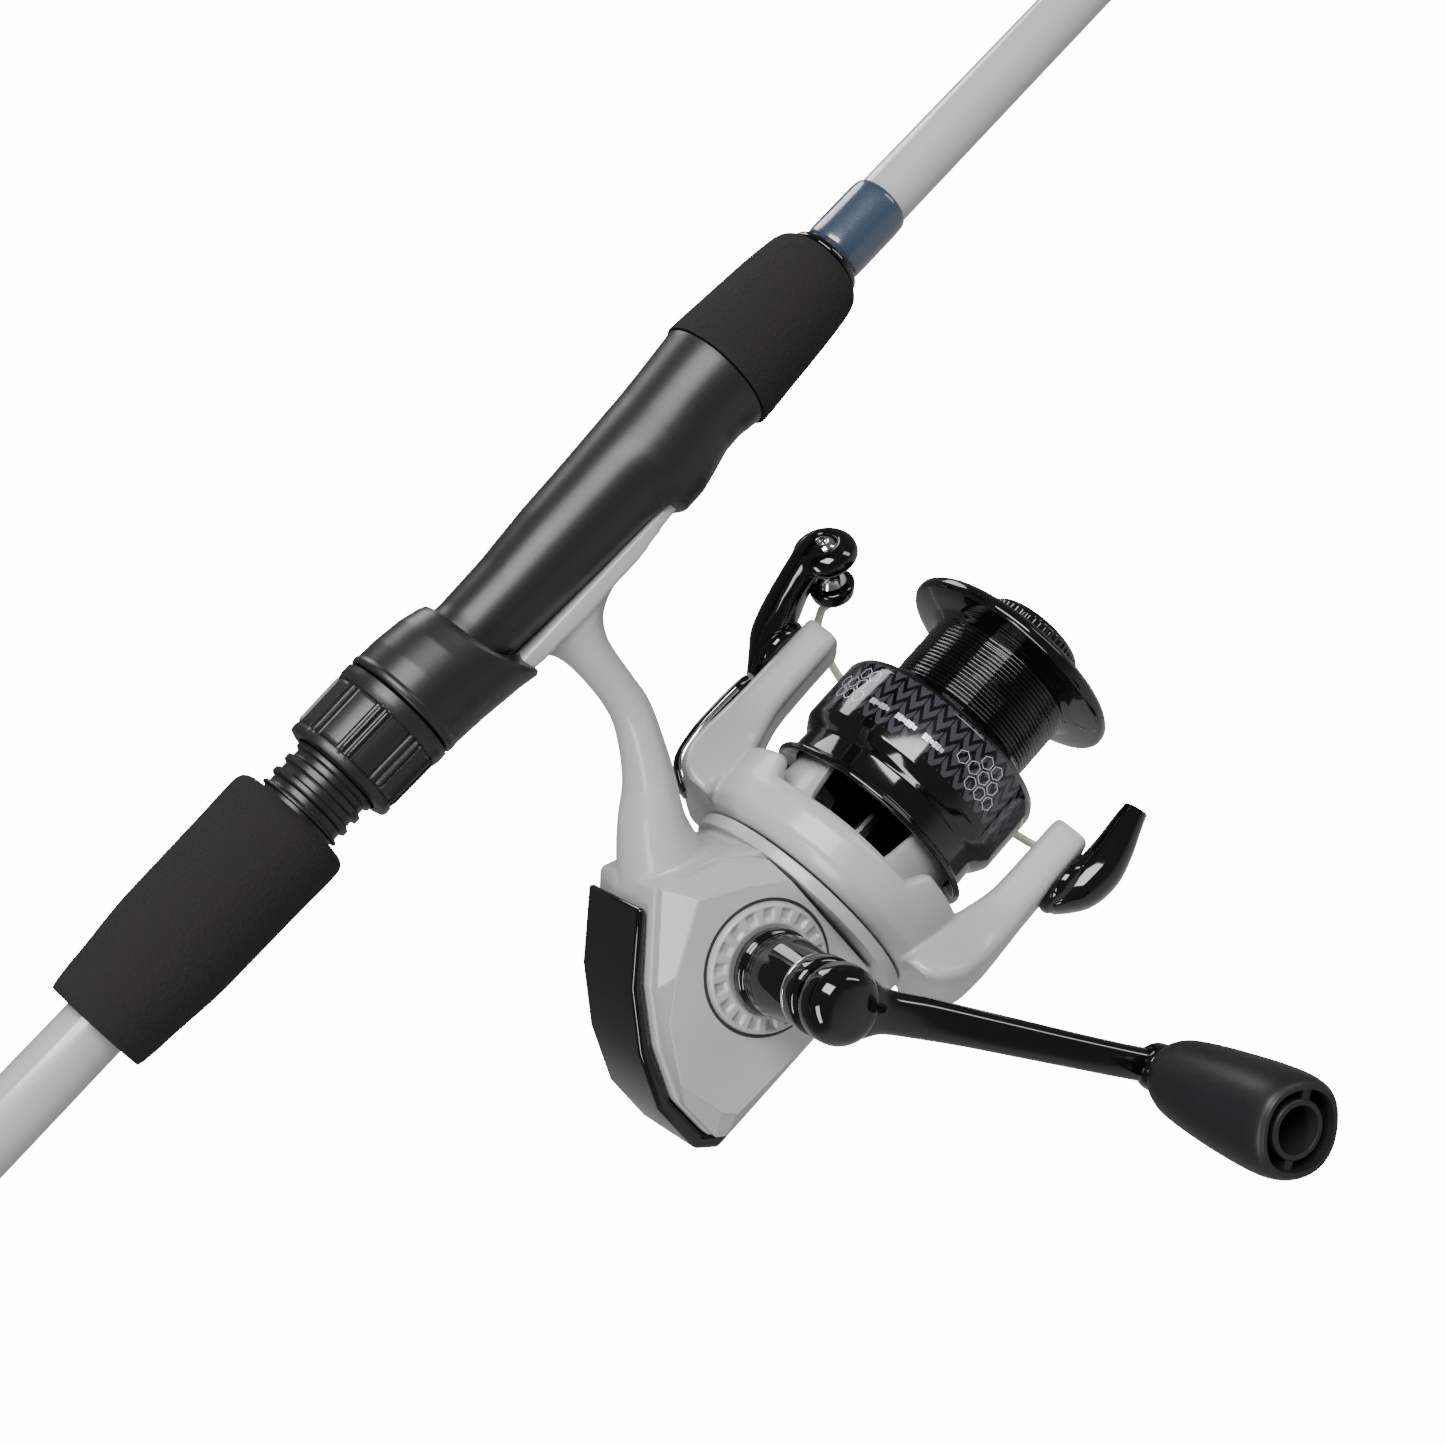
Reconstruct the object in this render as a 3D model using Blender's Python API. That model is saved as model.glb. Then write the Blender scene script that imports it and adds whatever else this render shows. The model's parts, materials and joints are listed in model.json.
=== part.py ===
"""Spinning rod with a fixed-spool reel, as separate named pieces.

Frame: +X along the rod towards the tip, +Z up, +Y to the left of the angler.
The origin is on the rod axis above the reel foot. The reel hangs below the rod and its crank is on the
right side (-Y). Sizes below are millimetres and are turned into metres by MM.
"""
import math

import bmesh
import bpy
from mathutils import Matrix, Vector

MM = 0.001
GAP = 0.3                  # running gap between neighbouring pieces
TRIM_GAP = 0.2             # gap under thin windings and trims
ROUND = 24                 # sides of a large turned piece
SMALL_ROUND = 16           # sides of a small turned piece
TINY_ROUND = 10            # sides of pins and screws

# --- rod ---------------------------------------------------------------------------------------------
BUTT_X = -300.0            # rear end of the blank
FERRULE_X = 615.0          # where the two sections meet
TIP_X = 1530.0             # front end of the blank
FERRULE_LAP = 70.0         # length of the male ferrule
BLANK_R_BUTT = 6.8
BLANK_R_SEAT = 5.9
BLANK_R_FERRULE = 3.9
BLANK_R_TIP = 0.9
BLANK_WALL = 1.1
FERRULE_R = 3.1            # male ferrule
SLEEVE_R = 4.5             # swollen mouth of the tip section

REAR_GRIP_REAR = -108.5
REAR_GRIP_LENGTH = 50.0
GRIP_R = 12.4              # fullest radius of the foam grips
BUTT_GRIP_LENGTH = 90.0
BUTT_CAP_R = 13.0
BUTT_CAP_LENGTH = 14.0

SEAT_FRONT = 56.0
SEAT_CORE_R = 7.9          # root of the thread, and the seat under the hood
THREAD_R = 8.7             # crest of the thread
THREAD_PITCH = 3.1
SEAT_DECK = 8.0            # the flat that the reel foot sits on, below the axis
NUT_LENGTH = 16.2
NUT_R = 11.9
HOOD_REAR = -31.0
HOOD_LENGTH = 16.5
HOOD_LIP = 6.5             # how far the hood's lower edge runs ahead of its upper edge
HOOD_R = 12.0
FIXED_HOOD_R = 13.9
FOREGRIP_LENGTH = 30.6
CHECK_LENGTH = 1.9
CHECK_R = 6.9
WRAP_LENGTH = 15.5
WRAP_THICKNESS = 0.5

# station along the blank, ring hole radius, depth of the ring centre below the blank's axis
GUIDES = ((430.0, 11.0, 33.0), (760.0, 7.0, 24.0), (1040.0, 4.6, 17.0), (1290.0, 3.4, 12.5))
GUIDE_RING_WALL = 1.5
GUIDE_RING_WIDTH = 2.6
GUIDE_WIRE = 1.1
TIP_RING_R = 2.6

# --- reel --------------------------------------------------------------------------------------------
SPOOL_DROP = 91.0          # rod axis to spool axis
CRANK_BACK = 17.0          # spool origin back to the crank axis
CRANK_RISE = 7.5           # crank axis above the spool axis
FOOT_REAR = -24.0
FOOT_FRONT = 39.5
FOOT_HALF_WIDTH = 6.4
FOOT_EDGE = 1.5            # thickness of the foot at its two ends
FOOT_MIDDLE = 3.7          # thickness of the foot at the leg
BODY_RIGHT = 13.0          # half widths of the gear case
BODY_LEFT = 17.0
CASE_LEFT_INNER = 13.0
COVER_OUTER = 19.3
HUB_R = 13.1
HUB_HEIGHT = 1.1
GUARD_HALF_WIDTH = 11.0
CASE_FRONT = 1.0
CASE_WALL = 3.9
BOSS_R = 11.8
BOSS_LENGTH = 7.4
CLUTCH_R = 9.6
BEARING_R = 7.0
BEARING_WIDTH = 3.0
CASE_FRONT_INNER = -2.0

SHAFT_R = 1.5              # main shaft
PINION_R = 3.5
PINION_SHAFT_R = 2.9
PINION_TEETH = 7
DRIVE_R = 14.4
DRIVE_TEETH = 35
DRIVE_AXLE_R = 3.0
OSC_PINION_R = 4.2
OSC_PINION_TEETH = 12
OSC_R = 8.4
OSC_TEETH = 24
OSC_THROW = 4.9
SLIDER_HALF = 3.0
SLIDER_REAR = -31.0
SLIDER_FRONT = -25.0
GUIDE_ROD_DROP = 6.9       # guide rod below the spool axis

ROTOR_REAR = 1.7
ROTOR_RIM = 16.5
ROTOR_R = 28.0
ROTOR_WALL = 3.2
WEB_THICKNESS = 2.3
ARM_ANGLE = 130.0          # direction of the bail arm, from the crank side round over the top
ARM_R_OUT = 36.2
ARM_R_IN = 28.5
ARM_TOP = 45.6
ARM_HALF_WIDTH = 7.0
BAIL_X = 38.5              # bail pivot ahead of the spool origin
BAIL_PLATE = 4.0           # thickness of the bail's two root discs
BAIL_ROOT_R = 7.2
BAIL_WIRE_R = 0.9
BAIL_WIRE_SWEEP = 38.5
ROLLER_R = 3.3
ROLLER_WIDTH = 4.6

SPOOL_REAR = 21.5
SPOOL_LIP_R = 24.5
SPOOL_LIP_X = 69.6
SKIRT_R = 23.8
SKIRT_FRONT = 46.5
ARBOR_R = 16.4
ARBOR_FRONT = 64.4
DRAG_KNOB_R = 11.4
DRAG_KNOB_FRONT = 76.2
WASHER_R = 12.8
WASHER_THICKNESS = 1.4

COLLAR_R = 8.5
COLLAR_END = 42.0
HANDLE_LENGTH = 61.5       # crank axis to knob axis
HANDLE_ANGLE = -57.0       # handle at rest, below forward
HANDLE_SWEEP = 17.0        # how far the arm swings outwards
KNOB_LENGTH = 36.0
KNOB_R = 10.2
KNOB_HOLE_R = 4.8
CAP_R = 7.6

SPOOL_AXIS = Vector((0.0, 0.0, -SPOOL_DROP))
CRANK_AXIS = Vector((-CRANK_BACK, 0.0, CRANK_RISE - SPOOL_DROP))
RIGHT = Vector((0.0, -1.0, 0.0))
FORWARD = Vector((1.0, 0.0, 0.0))


def lerp(value, start, end, first, last):
    """Straight line from first at start to last at end."""
    share = (value - start) / (end - start)
    return first + (last - first) * share


def blank_radius(x):
    """Outer radius of the rod blank at a station."""
    if x < 0.0:
        return lerp(x, BUTT_X, 0.0, BLANK_R_BUTT, BLANK_R_SEAT)
    if x <= FERRULE_X:
        return lerp(x, 0.0, FERRULE_X, BLANK_R_SEAT, BLANK_R_FERRULE)
    return lerp(x, FERRULE_X, TIP_X, BLANK_R_FERRULE, BLANK_R_TIP)


def arm_direction(angle):
    """Radial direction about the spool axis; 0 is the crank side and 90 is up."""
    turn = math.radians(angle)
    return Vector((0.0, -math.cos(turn), math.sin(turn)))


RADIAL = arm_direction(ARM_ANGLE)
TANGENT = Vector((0.0, -RADIAL.z, RADIAL.y))


def on_arm(x, radius, across):
    """A point from its place along the spool axis, out along the bail arm and across it."""
    return SPOOL_AXIS + FORWARD * x + RADIAL * radius + TANGENT * across


def clear_scene():
    for old in list(bpy.data.objects):
        bpy.data.objects.remove(old, do_unlink=True)


def material(name, colour, roughness, metallic=0.0):
    """A Principled material, made once for each name."""
    found = bpy.data.materials.get(name)
    if found:
        return found
    made = bpy.data.materials.new(name)
    made.use_nodes = True
    shader = made.node_tree.nodes["Principled BSDF"]
    shader.inputs["Base Color"].default_value = (*colour, 1.0)
    shader.inputs["Roughness"].default_value = roughness
    shader.inputs["Metallic"].default_value = metallic
    made.diffuse_color = (*colour, 1.0)
    return made


GREY_PAINT = ("grey_paint", (0.50, 0.51, 0.49), 0.35, 0.1)
BLACK_FOAM = ("black_foam", (0.02, 0.02, 0.02), 0.95)
BLACK_NYLON = ("black_nylon", (0.03, 0.03, 0.03), 0.45)
BLACK_GLOSS = ("black_gloss", (0.01, 0.01, 0.01), 0.08, 0.3)
BLUE_EPOXY = ("blue_epoxy", (0.06, 0.11, 0.19), 0.12)
SOFT_BLACK = ("soft_black", (0.035, 0.035, 0.035), 0.6)
CHROME = ("chrome", (0.75, 0.75, 0.75), 0.12, 1.0)
STEEL = ("steel", (0.55, 0.55, 0.56), 0.3, 1.0)
BRASS = ("brass", (0.75, 0.53, 0.22), 0.3, 1.0)
ZINC = ("zinc_alloy", (0.45, 0.46, 0.48), 0.45, 1.0)
CERAMIC = ("ceramic", (0.05, 0.05, 0.06), 0.1)
FELT = ("felt", (0.35, 0.3, 0.22), 0.95)
WIRE_WHITE = ("pale_wire", (0.8, 0.78, 0.68), 0.25, 0.2)


def add_object(name, mesh, finish, origin=Vector(), turn=None):
    """Link a mesh given in millimetres about its own origin, at a place in millimetres."""
    mesh.transform(Matrix.Scale(MM, 4))
    mesh.shade_smooth()
    mesh.set_sharp_from_angle(angle=math.radians(32.0))
    thing = bpy.data.objects.new(name, mesh)
    thing.location = Vector(origin) * MM
    if turn is not None:
        thing.rotation_mode = "QUATERNION"
        thing.rotation_quaternion = turn
    if finish is not None:
        mesh.materials.append(material(*finish))
    bpy.context.scene.collection.objects.link(thing)
    return thing


def finish_mesh(name, work):
    """Close a bmesh into a mesh with its faces outwards."""
    bmesh.ops.remove_doubles(work, verts=work.verts, dist=0.0005)
    bmesh.ops.recalc_face_normals(work, faces=work.faces)
    mesh = bpy.data.meshes.new(name)
    work.to_mesh(mesh)
    work.free()
    return mesh


def bore_cutter(x0, x1, radius):
    """Profile of a plain cylinder used to cut a hole."""
    return [(x0, 0.0), (x0, radius), (x1, radius), (x1, 0.0)]


def stepped_cutter(steps):
    """Profile of a stepped hole. steps are start, end and radius, in order along the axis."""
    profile = [(steps[0][0], 0.0)]
    for start, end, radius in steps:
        profile += [(start, radius), (end, radius)]
    profile.append((steps[-1][1], 0.0))
    return profile


def lathe(name, profile, finish, origin=Vector(), direction=FORWARD, sides=ROUND):
    """Turn a closed profile of (along, radius) points about an axis through origin."""
    work = bmesh.new()
    verts = [work.verts.new((along, radius, 0.0)) for along, radius in profile]
    edges = [work.edges.new((verts[i], verts[(i + 1) % len(verts)])) for i in range(len(verts))]
    on_axis = [e for e in edges if all(abs(v.co.y) < 1e-6 for v in e.verts)]
    edges = [e for e in edges if e not in on_axis]
    for edge in on_axis:
        work.edges.remove(edge)
    bmesh.ops.spin(work, geom=verts + edges, axis=(1.0, 0.0, 0.0), cent=(0.0, 0.0, 0.0),
                   steps=sides, angle=math.tau, use_merge=False)
    mesh = finish_mesh(name, work)
    turn = FORWARD.rotation_difference(Vector(direction))
    return add_object(name, mesh, finish, origin, turn)


def rod_turned(name, profile, finish, sides=ROUND):
    """A piece turned about the rod's axis."""
    return lathe(name, profile, finish, sides=sides)


def reel_turned(name, profile, finish, sides=ROUND):
    """A piece turned about the spool axis."""
    return lathe(name, profile, finish, SPOOL_AXIS, FORWARD, sides)


def crank_turned(name, profile, finish, sides=ROUND, origin=CRANK_AXIS):
    """A piece turned about the crank axis, with its profile measured towards the handle."""
    return lathe(name, profile, finish, origin, RIGHT, sides)


def tube(x0, x1, inner, outer):
    """Profile of a plain ring."""
    return [(x0, inner), (x0, outer), (x1, outer), (x1, inner)]


def rod_or_pin(x0, x1, radius, chamfer=0.3):
    """Profile of a plain pin with eased ends."""
    return [(x0, 0.0), (x0, radius - chamfer), (x0 + chamfer, radius),
            (x1 - chamfer, radius), (x1, radius - chamfer), (x1, 0.0)]


def loft(name, rings, finish, origin=Vector()):
    """Skin a row of closed rings with the same number of points and close both ends."""
    work = bmesh.new()
    rows = [[work.verts.new(Vector(p)) for p in ring] for ring in rings]
    count = len(rings[0])
    for lower, upper in zip(rows, rows[1:]):
        for i in range(count):
            j = (i + 1) % count
            work.faces.new((lower[i], lower[j], upper[j], upper[i]))
    work.faces.new(rows[0])
    work.faces.new(list(reversed(rows[-1])))
    return add_object(name, finish_mesh(name, work), finish, origin)


def prism(name, outline, near, far, finish, origin=Vector(), axes=None, bevel=0.0):
    """Extrude an outline between two depths. axes are the outline's two directions and the depth's."""
    u, v, w = axes or (FORWARD, Vector((0.0, 0.0, 1.0)), RIGHT)
    rings = [[u * a + v * b + w * depth for a, b in outline] for depth in (near, far)]
    thing = loft(name, rings, finish, origin)
    if bevel:
        ease = thing.modifiers.new("eased_edges", "BEVEL")
        ease.width = bevel * MM
        ease.segments = 2
        ease.limit_method = "ANGLE"
        ease.angle_limit = math.radians(25.0)
    return thing


def combine(target, tool, operation):
    """Join a shape to a piece, or cut it away. The tool stays as a hidden guide."""
    step = target.modifiers.new(tool.name, "BOOLEAN")
    step.operation = operation
    step.object = tool
    step.solver = "EXACT"
    tool.hide_render = True
    tool.display_type = "WIRE"


def cut(target, *tools):
    for tool in tools:
        combine(target, tool, "DIFFERENCE")


def join(target, *tools):
    for tool in tools:
        combine(target, tool, "UNION")


def sweep(name, points, radius, finish, sides=2):
    """A round wire along a smooth row of points, with closed ends."""
    curve = bpy.data.curves.new(name, "CURVE")
    curve.dimensions = "3D"
    curve.bevel_depth = radius * MM
    curve.bevel_resolution = sides
    curve.use_fill_caps = True
    line = curve.splines.new("POLY")
    line.points.add(len(points) - 1)
    for spot, place in zip(line.points, points):
        spot.co = (*(Vector(place) * MM), 1.0)
    curve.materials.append(material(*finish))
    thing = bpy.data.objects.new(name, curve)
    bpy.context.scene.collection.objects.link(thing)
    return thing


def smooth_row(points, steps):
    """Catmull-Rom points through hand-chosen points."""
    ends = [points[0] * 2 - points[1], *points, points[-1] * 2 - points[-2]]
    row = []
    for a, b, c, d in zip(ends, ends[1:], ends[2:], ends[3:]):
        for i in range(steps):
            t = i / steps
            row.append(0.5 * (2 * b + (c - a) * t + (2 * a - 5 * b + 4 * c - d) * t * t
                              + (3 * b - a - 3 * c + d) * t ** 3))
    row.append(points[-1])
    return row


def ellipse(centre, u, v, half_u, half_v, count=14):
    """A ring of points about a centre in the plane of u and v."""
    ring = []
    for i in range(count):
        angle = math.tau * i / count
        ring.append(centre + u * (half_u * math.cos(angle)) + v * (half_v * math.sin(angle)))
    return ring


def rod_ring(x, top, bottom, deck=None, lean=0.0, count=20):
    """A seat section whose radius runs from top to bottom; deck flattens it below, lean slants it."""
    ring = []
    for i in range(count):
        angle = math.tau * i / count
        down = (1.0 - math.cos(angle)) / 2.0
        radius = top + (bottom - top) * down * down
        z = radius * math.cos(angle)
        if deck is not None:
            z = max(z, -deck)
        ring.append(Vector((x + lean * down * down, radius * math.sin(angle), z)))
    return ring


# --- rod pieces --------------------------------------------------------------------------------------
def bore_profile(x0, x1, clearance):
    """The two bore points of a sleeve that sits on the tapering blank."""
    return [(x1, blank_radius(x1) + clearance), (x0, blank_radius(x0) + clearance)]


def make_blank():
    stations = [BUTT_X, -200.0, 0.0, 200.0, FERRULE_X]
    outer = [(x, blank_radius(x)) for x in stations]
    inner = [(x, blank_radius(x) - BLANK_WALL) for x in reversed(stations[:-1])]
    end = FERRULE_X + FERRULE_LAP
    male = [(FERRULE_X, FERRULE_R), (end, FERRULE_R), (end, FERRULE_R - BLANK_WALL)]
    neck = [(FERRULE_X - 10.0, FERRULE_R - BLANK_WALL)]
    rod_turned("butt_section", outer + male + neck + inner, GREY_PAINT, 24)
    mouth = FERRULE_X + GAP
    depth = end + GAP + 1.0
    bore = FERRULE_R + GAP
    start = blank_radius(depth + 25.0)
    tip = [(mouth, bore), (mouth, SLEEVE_R), (mouth + 30.0, SLEEVE_R - 0.1), (depth + 25.0, start),
           (1000.0, blank_radius(1000.0)), (TIP_X, BLANK_R_TIP), (TIP_X, 0.0), (depth, 0.0), (depth, bore)]
    rod_turned("tip_section", tip, GREY_PAINT, 20)


def make_grips():
    rear = REAR_GRIP_REAR
    front = rear + REAR_GRIP_LENGTH
    r = GRIP_R
    outer = [(rear, r - 3.0), (rear + 1.0, r - 2.1), (rear + 8.0, r - 1.2), (rear + 20.0, r - 0.4),
             (front - 8.0, r + 0.1), (front - 2.0, r), (front - 0.7, r - 0.6), (front, r - 2.0)]
    rod_turned("rear_grip", outer + bore_profile(rear, front, GAP), BLACK_FOAM)
    start = BUTT_X
    end = start + BUTT_GRIP_LENGTH
    butt = [(start, r - 1.5), (start + 2.0, r), (start + 25.0, r + 0.4), (end - 30.0, r - 1.0),
            (end - 2.0, r - 3.4), (end, r - 4.5)]
    rod_turned("butt_grip", butt + bore_profile(start, end, GAP), BLACK_FOAM)
    face = BUTT_X - GAP
    c = BUTT_CAP_R
    rear_face = face - BUTT_CAP_LENGTH
    cap = [(rear_face, 0.0), (rear_face, c - 1.5), (rear_face + 1.5, c), (face - 1.0, c), (face, c - 1.0),
           (face, 0.0)]
    rod_turned("butt_cap", cap, SOFT_BLACK)
    x0 = SEAT_FRONT + GAP
    x1 = x0 + FOREGRIP_LENGTH
    fore = [(x0, r - 1.0), (x0 + 0.6, r), (x0 + 8.4, r - 0.5), (x1 - 11.4, r - 1.25), (x1 - 2.4, r - 2.4),
            (x1 - 0.7, r - 3.6), (x1, r - 4.6)]
    rod_turned("foregrip", fore + bore_profile(x0, x1, GAP), BLACK_FOAM)
    check = x1 + GAP
    check_end = check + CHECK_LENGTH
    ring = [(check, CHECK_R), (check_end - 0.5, CHECK_R), (check_end, CHECK_R - 0.5)]
    rod_turned("winding_check", ring + bore_profile(check, check_end, TRIM_GAP), BLACK_GLOSS)
    wrap = check_end + GAP
    wrap_end = wrap + WRAP_LENGTH
    skin = TRIM_GAP + WRAP_THICKNESS
    sleeve = [(wrap, blank_radius(wrap) + skin), (wrap_end, blank_radius(wrap_end) + skin)]
    rod_turned("trim_wrap", sleeve + bore_profile(wrap, wrap_end, TRIM_GAP), BLUE_EPOXY, 24)


def seat_rear():
    return REAR_GRIP_REAR + REAR_GRIP_LENGTH + GAP


def make_seat():
    """Reel seat: a threaded rear, a flat deck for the foot and a fixed hood that covers the foot's toe."""
    core = SEAT_CORE_R
    rear = seat_rear()
    hood_front = HOOD_REAR + HOOD_LENGTH
    toe = FOOT_FRONT
    rings = [rod_ring(rear, core, core)]
    x = rear + THREAD_PITCH / 2
    while x + THREAD_PITCH < HOOD_REAR - 0.5:
        for offset, radius in ((0.0, core), (0.7, THREAD_R), (1.5, THREAD_R), (2.2, core)):
            rings.append(rod_ring(x + offset, radius, radius))
        x += THREAD_PITCH
    rings.append(rod_ring(HOOD_REAR, core, core, SEAT_DECK))
    rings.append(rod_ring(hood_front, core - 0.1, core, SEAT_DECK))
    for x, top in ((-2.0, core), (8.0, core + 0.8), (18.0, core + 1.4), (28.0, core + 1.9)):
        rings.append(rod_ring(x, top, SEAT_DECK + 1.5, SEAT_DECK))
    big = FIXED_HOOD_R
    rings.append(rod_ring(toe - 8.5, core + 2.1, SEAT_DECK + 1.5, SEAT_DECK))
    for x, top, bottom in ((toe - 8.0, core + 2.1, big), (toe - 3.0, core + 2.4, big), (toe + 3.0, 10.6, 12.6),
                           (toe + 8.0, 10.9, 11.2), (SEAT_FRONT - 4.0, 11.3, 11.1),
                           (SEAT_FRONT, 11.8, 11.6)):
        rings.append(rod_ring(x, top, bottom))
    seat = loft("reel_seat", rings, BLACK_NYLON)
    bore = rod_turned("seat_bore", [(rear - 2.0, 0.0), (rear - 2.0, blank_radius(rear) + GAP),
                                    (SEAT_FRONT + 2.0, blank_radius(SEAT_FRONT) + GAP),
                                    (SEAT_FRONT + 2.0, 0.0)], None, 24)
    pocket = foot_shape("toe_pocket", GAP)
    cut(seat, bore, pocket)


def make_hood():
    """Sliding hood with a lower lip over the heel of the foot, and its lock nut."""
    rear = HOOD_REAR
    front = rear + HOOD_LENGTH
    r = HOOD_R
    rings = [rod_ring(rear, r - 0.5, r - 0.5), rod_ring(rear + 0.6, r, r + 0.1),
             rod_ring(rear + 6.0, r - 0.4, r + 0.7, None, HOOD_LIP * 0.3),
             rod_ring(rear + 12.0, r - 1.1, r + 1.6, None, HOOD_LIP * 0.7),
             rod_ring(front - 0.6, r - 1.9, r + 2.4, None, HOOD_LIP),
             rod_ring(front, r - 2.2, r + 1.9, None, HOOD_LIP)]
    hood = loft("slide_hood", rings, BLACK_NYLON)
    bore_r = THREAD_R + GAP
    bore = rod_turned("hood_bore", bore_cutter(rear - 2.0, front + 10.0, bore_r + 0.05), None, 24)
    join(bore, foot_shape("heel_pocket", GAP))
    cut(hood, bore)
    nut_front = rear - GAP
    nut_rear = nut_front - NUT_LENGTH
    n = NUT_R
    profile = [(nut_rear, n - 1.0), (nut_rear + 0.8, n - 0.1), (nut_rear + 3.0, n), (nut_rear + 3.6, n - 0.6),
               (nut_front - 2.6, n - 0.5), (nut_front - 2.0, n), (nut_front - 0.4, n), (nut_front, n - 0.5),
               (nut_front, bore_r), (nut_rear, bore_r)]
    rod_turned("lock_nut", profile, BLACK_NYLON)


def foot_outline(grow):
    """Side view of the foot; grow adds the gap round it for the pockets that hold it."""
    face = -SEAT_DECK - GAP
    top = face + grow * 0.8
    edge = face - FOOT_EDGE - grow
    middle = face - FOOT_MIDDLE - grow
    rear = FOOT_REAR - grow
    front = FOOT_FRONT + grow
    return [(rear, top), (front, top), (front, edge), (FOOT_FRONT - 10.0, edge - 0.8),
            (FOOT_FRONT - 20.0, middle), (FOOT_REAR + 18.0, middle), (FOOT_REAR + 8.0, edge - 0.6), (rear, edge)]


def foot_shape(name, grow, finish=None):
    half = FOOT_HALF_WIDTH + grow
    return prism(name, foot_outline(grow), -half, half, finish)


def guide_frame(name, x, hole, drop, blank_r):
    """Ring holder, stem and a foot that lies along the underside of the blank."""
    inner = hole + GUIDE_RING_WALL + TRIM_GAP
    outer = inner + GUIDE_WIRE
    half = GUIDE_RING_WIDTH / 2
    centre = Vector((x, 0.0, -drop))
    frame = lathe(name, tube(-half, half, inner, outer), STEEL, centre, FORWARD, SMALL_ROUND)
    under = -(blank_r + TRIM_GAP)
    foot = [(x - half - 16.0, under), (x + 1.0, under), (x + 1.0, under - 1.0), (x - half - 15.0, under - 0.9)]
    stem_top = under - 0.4
    ring_top = -drop + inner + GUIDE_WIRE * 0.45
    stem = [(x - half - 6.0, stem_top), (x - half - 2.0, stem_top), (x + half * 0.6, ring_top),
            (x - half * 0.9, ring_top)]
    join(frame, prism(name + "_foot", foot, -1.3, 1.3, None), prism(name + "_stem", stem, -1.1, 1.1, None))
    return centre


def guide_ring(name, centre, hole):
    wall = hole + GUIDE_RING_WALL
    half = GUIDE_RING_WIDTH / 2
    profile = [(-half * 0.6, hole), (-half, hole + 0.5), (-half, wall), (half, wall), (half, hole + 0.5),
               (half * 0.6, hole)]
    lathe(name, profile, CERAMIC, centre, FORWARD, SMALL_ROUND)


def make_guides():
    for number, (x, hole, drop) in enumerate(GUIDES, 1):
        centre = guide_frame(f"guide_frame_{number}", x, hole, drop, blank_radius(x))
        guide_ring(f"guide_ring_{number}", centre, hole)
    sleeve_r = BLANK_R_TIP + TRIM_GAP + 0.15
    sleeve_outer = sleeve_r + 0.7
    inner = TIP_RING_R + GUIDE_RING_WALL + TRIM_GAP
    drop = inner + sleeve_outer + 0.12
    centre = Vector((TIP_X + GUIDE_RING_WIDTH, 0.0, -drop))
    half = GUIDE_RING_WIDTH / 2
    top = lathe("tip_top_frame", tube(-half, half, inner, inner + GUIDE_WIRE), STEEL, centre, FORWARD, SMALL_ROUND)
    sleeve = rod_turned("tip_sleeve", [(TIP_X - 12.0, sleeve_r + 0.1), (TIP_X - 12.0, sleeve_outer),
                                       (TIP_X + 3.5, sleeve_outer), (TIP_X + 3.5, 0.0), (TIP_X + 0.6, 0.0),
                                       (TIP_X + 0.6, sleeve_r)], None, 16)
    join(top, sleeve)
    guide_ring("tip_top_ring", centre, TIP_RING_R)


# --- reel pieces -------------------------------------------------------------------------------------
def case_outline(inset):
    """Side view of the gear case, from the rear of the leg round the tail to the front face."""
    crank = CRANK_AXIS
    base = SPOOL_AXIS.z
    top = crank.z + 26.0
    tail = crank.x - 29.5
    floor = base - 13.6
    front = CASE_FRONT - inset * (CASE_FRONT - CASE_FRONT_INNER) / CASE_WALL
    return [(crank.x - 4.5 + inset * 0.4, top - inset * 1.6), (crank.x - 18.0 + inset, top - 13.5 - inset * 0.6),
            (crank.x - 25.0 + inset, top - 24.0), (tail + inset, base - 1.5), (tail + inset, floor + 1.6 + inset),
            (tail + 1.6 + inset, floor + inset), (crank.x, floor - 0.6 + inset),
            (front, floor + 1.2 + inset), (front, crank.z + 13.0 - inset * 0.2),
            (crank.x + 9.0, top - 6.0 - inset)]


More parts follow.
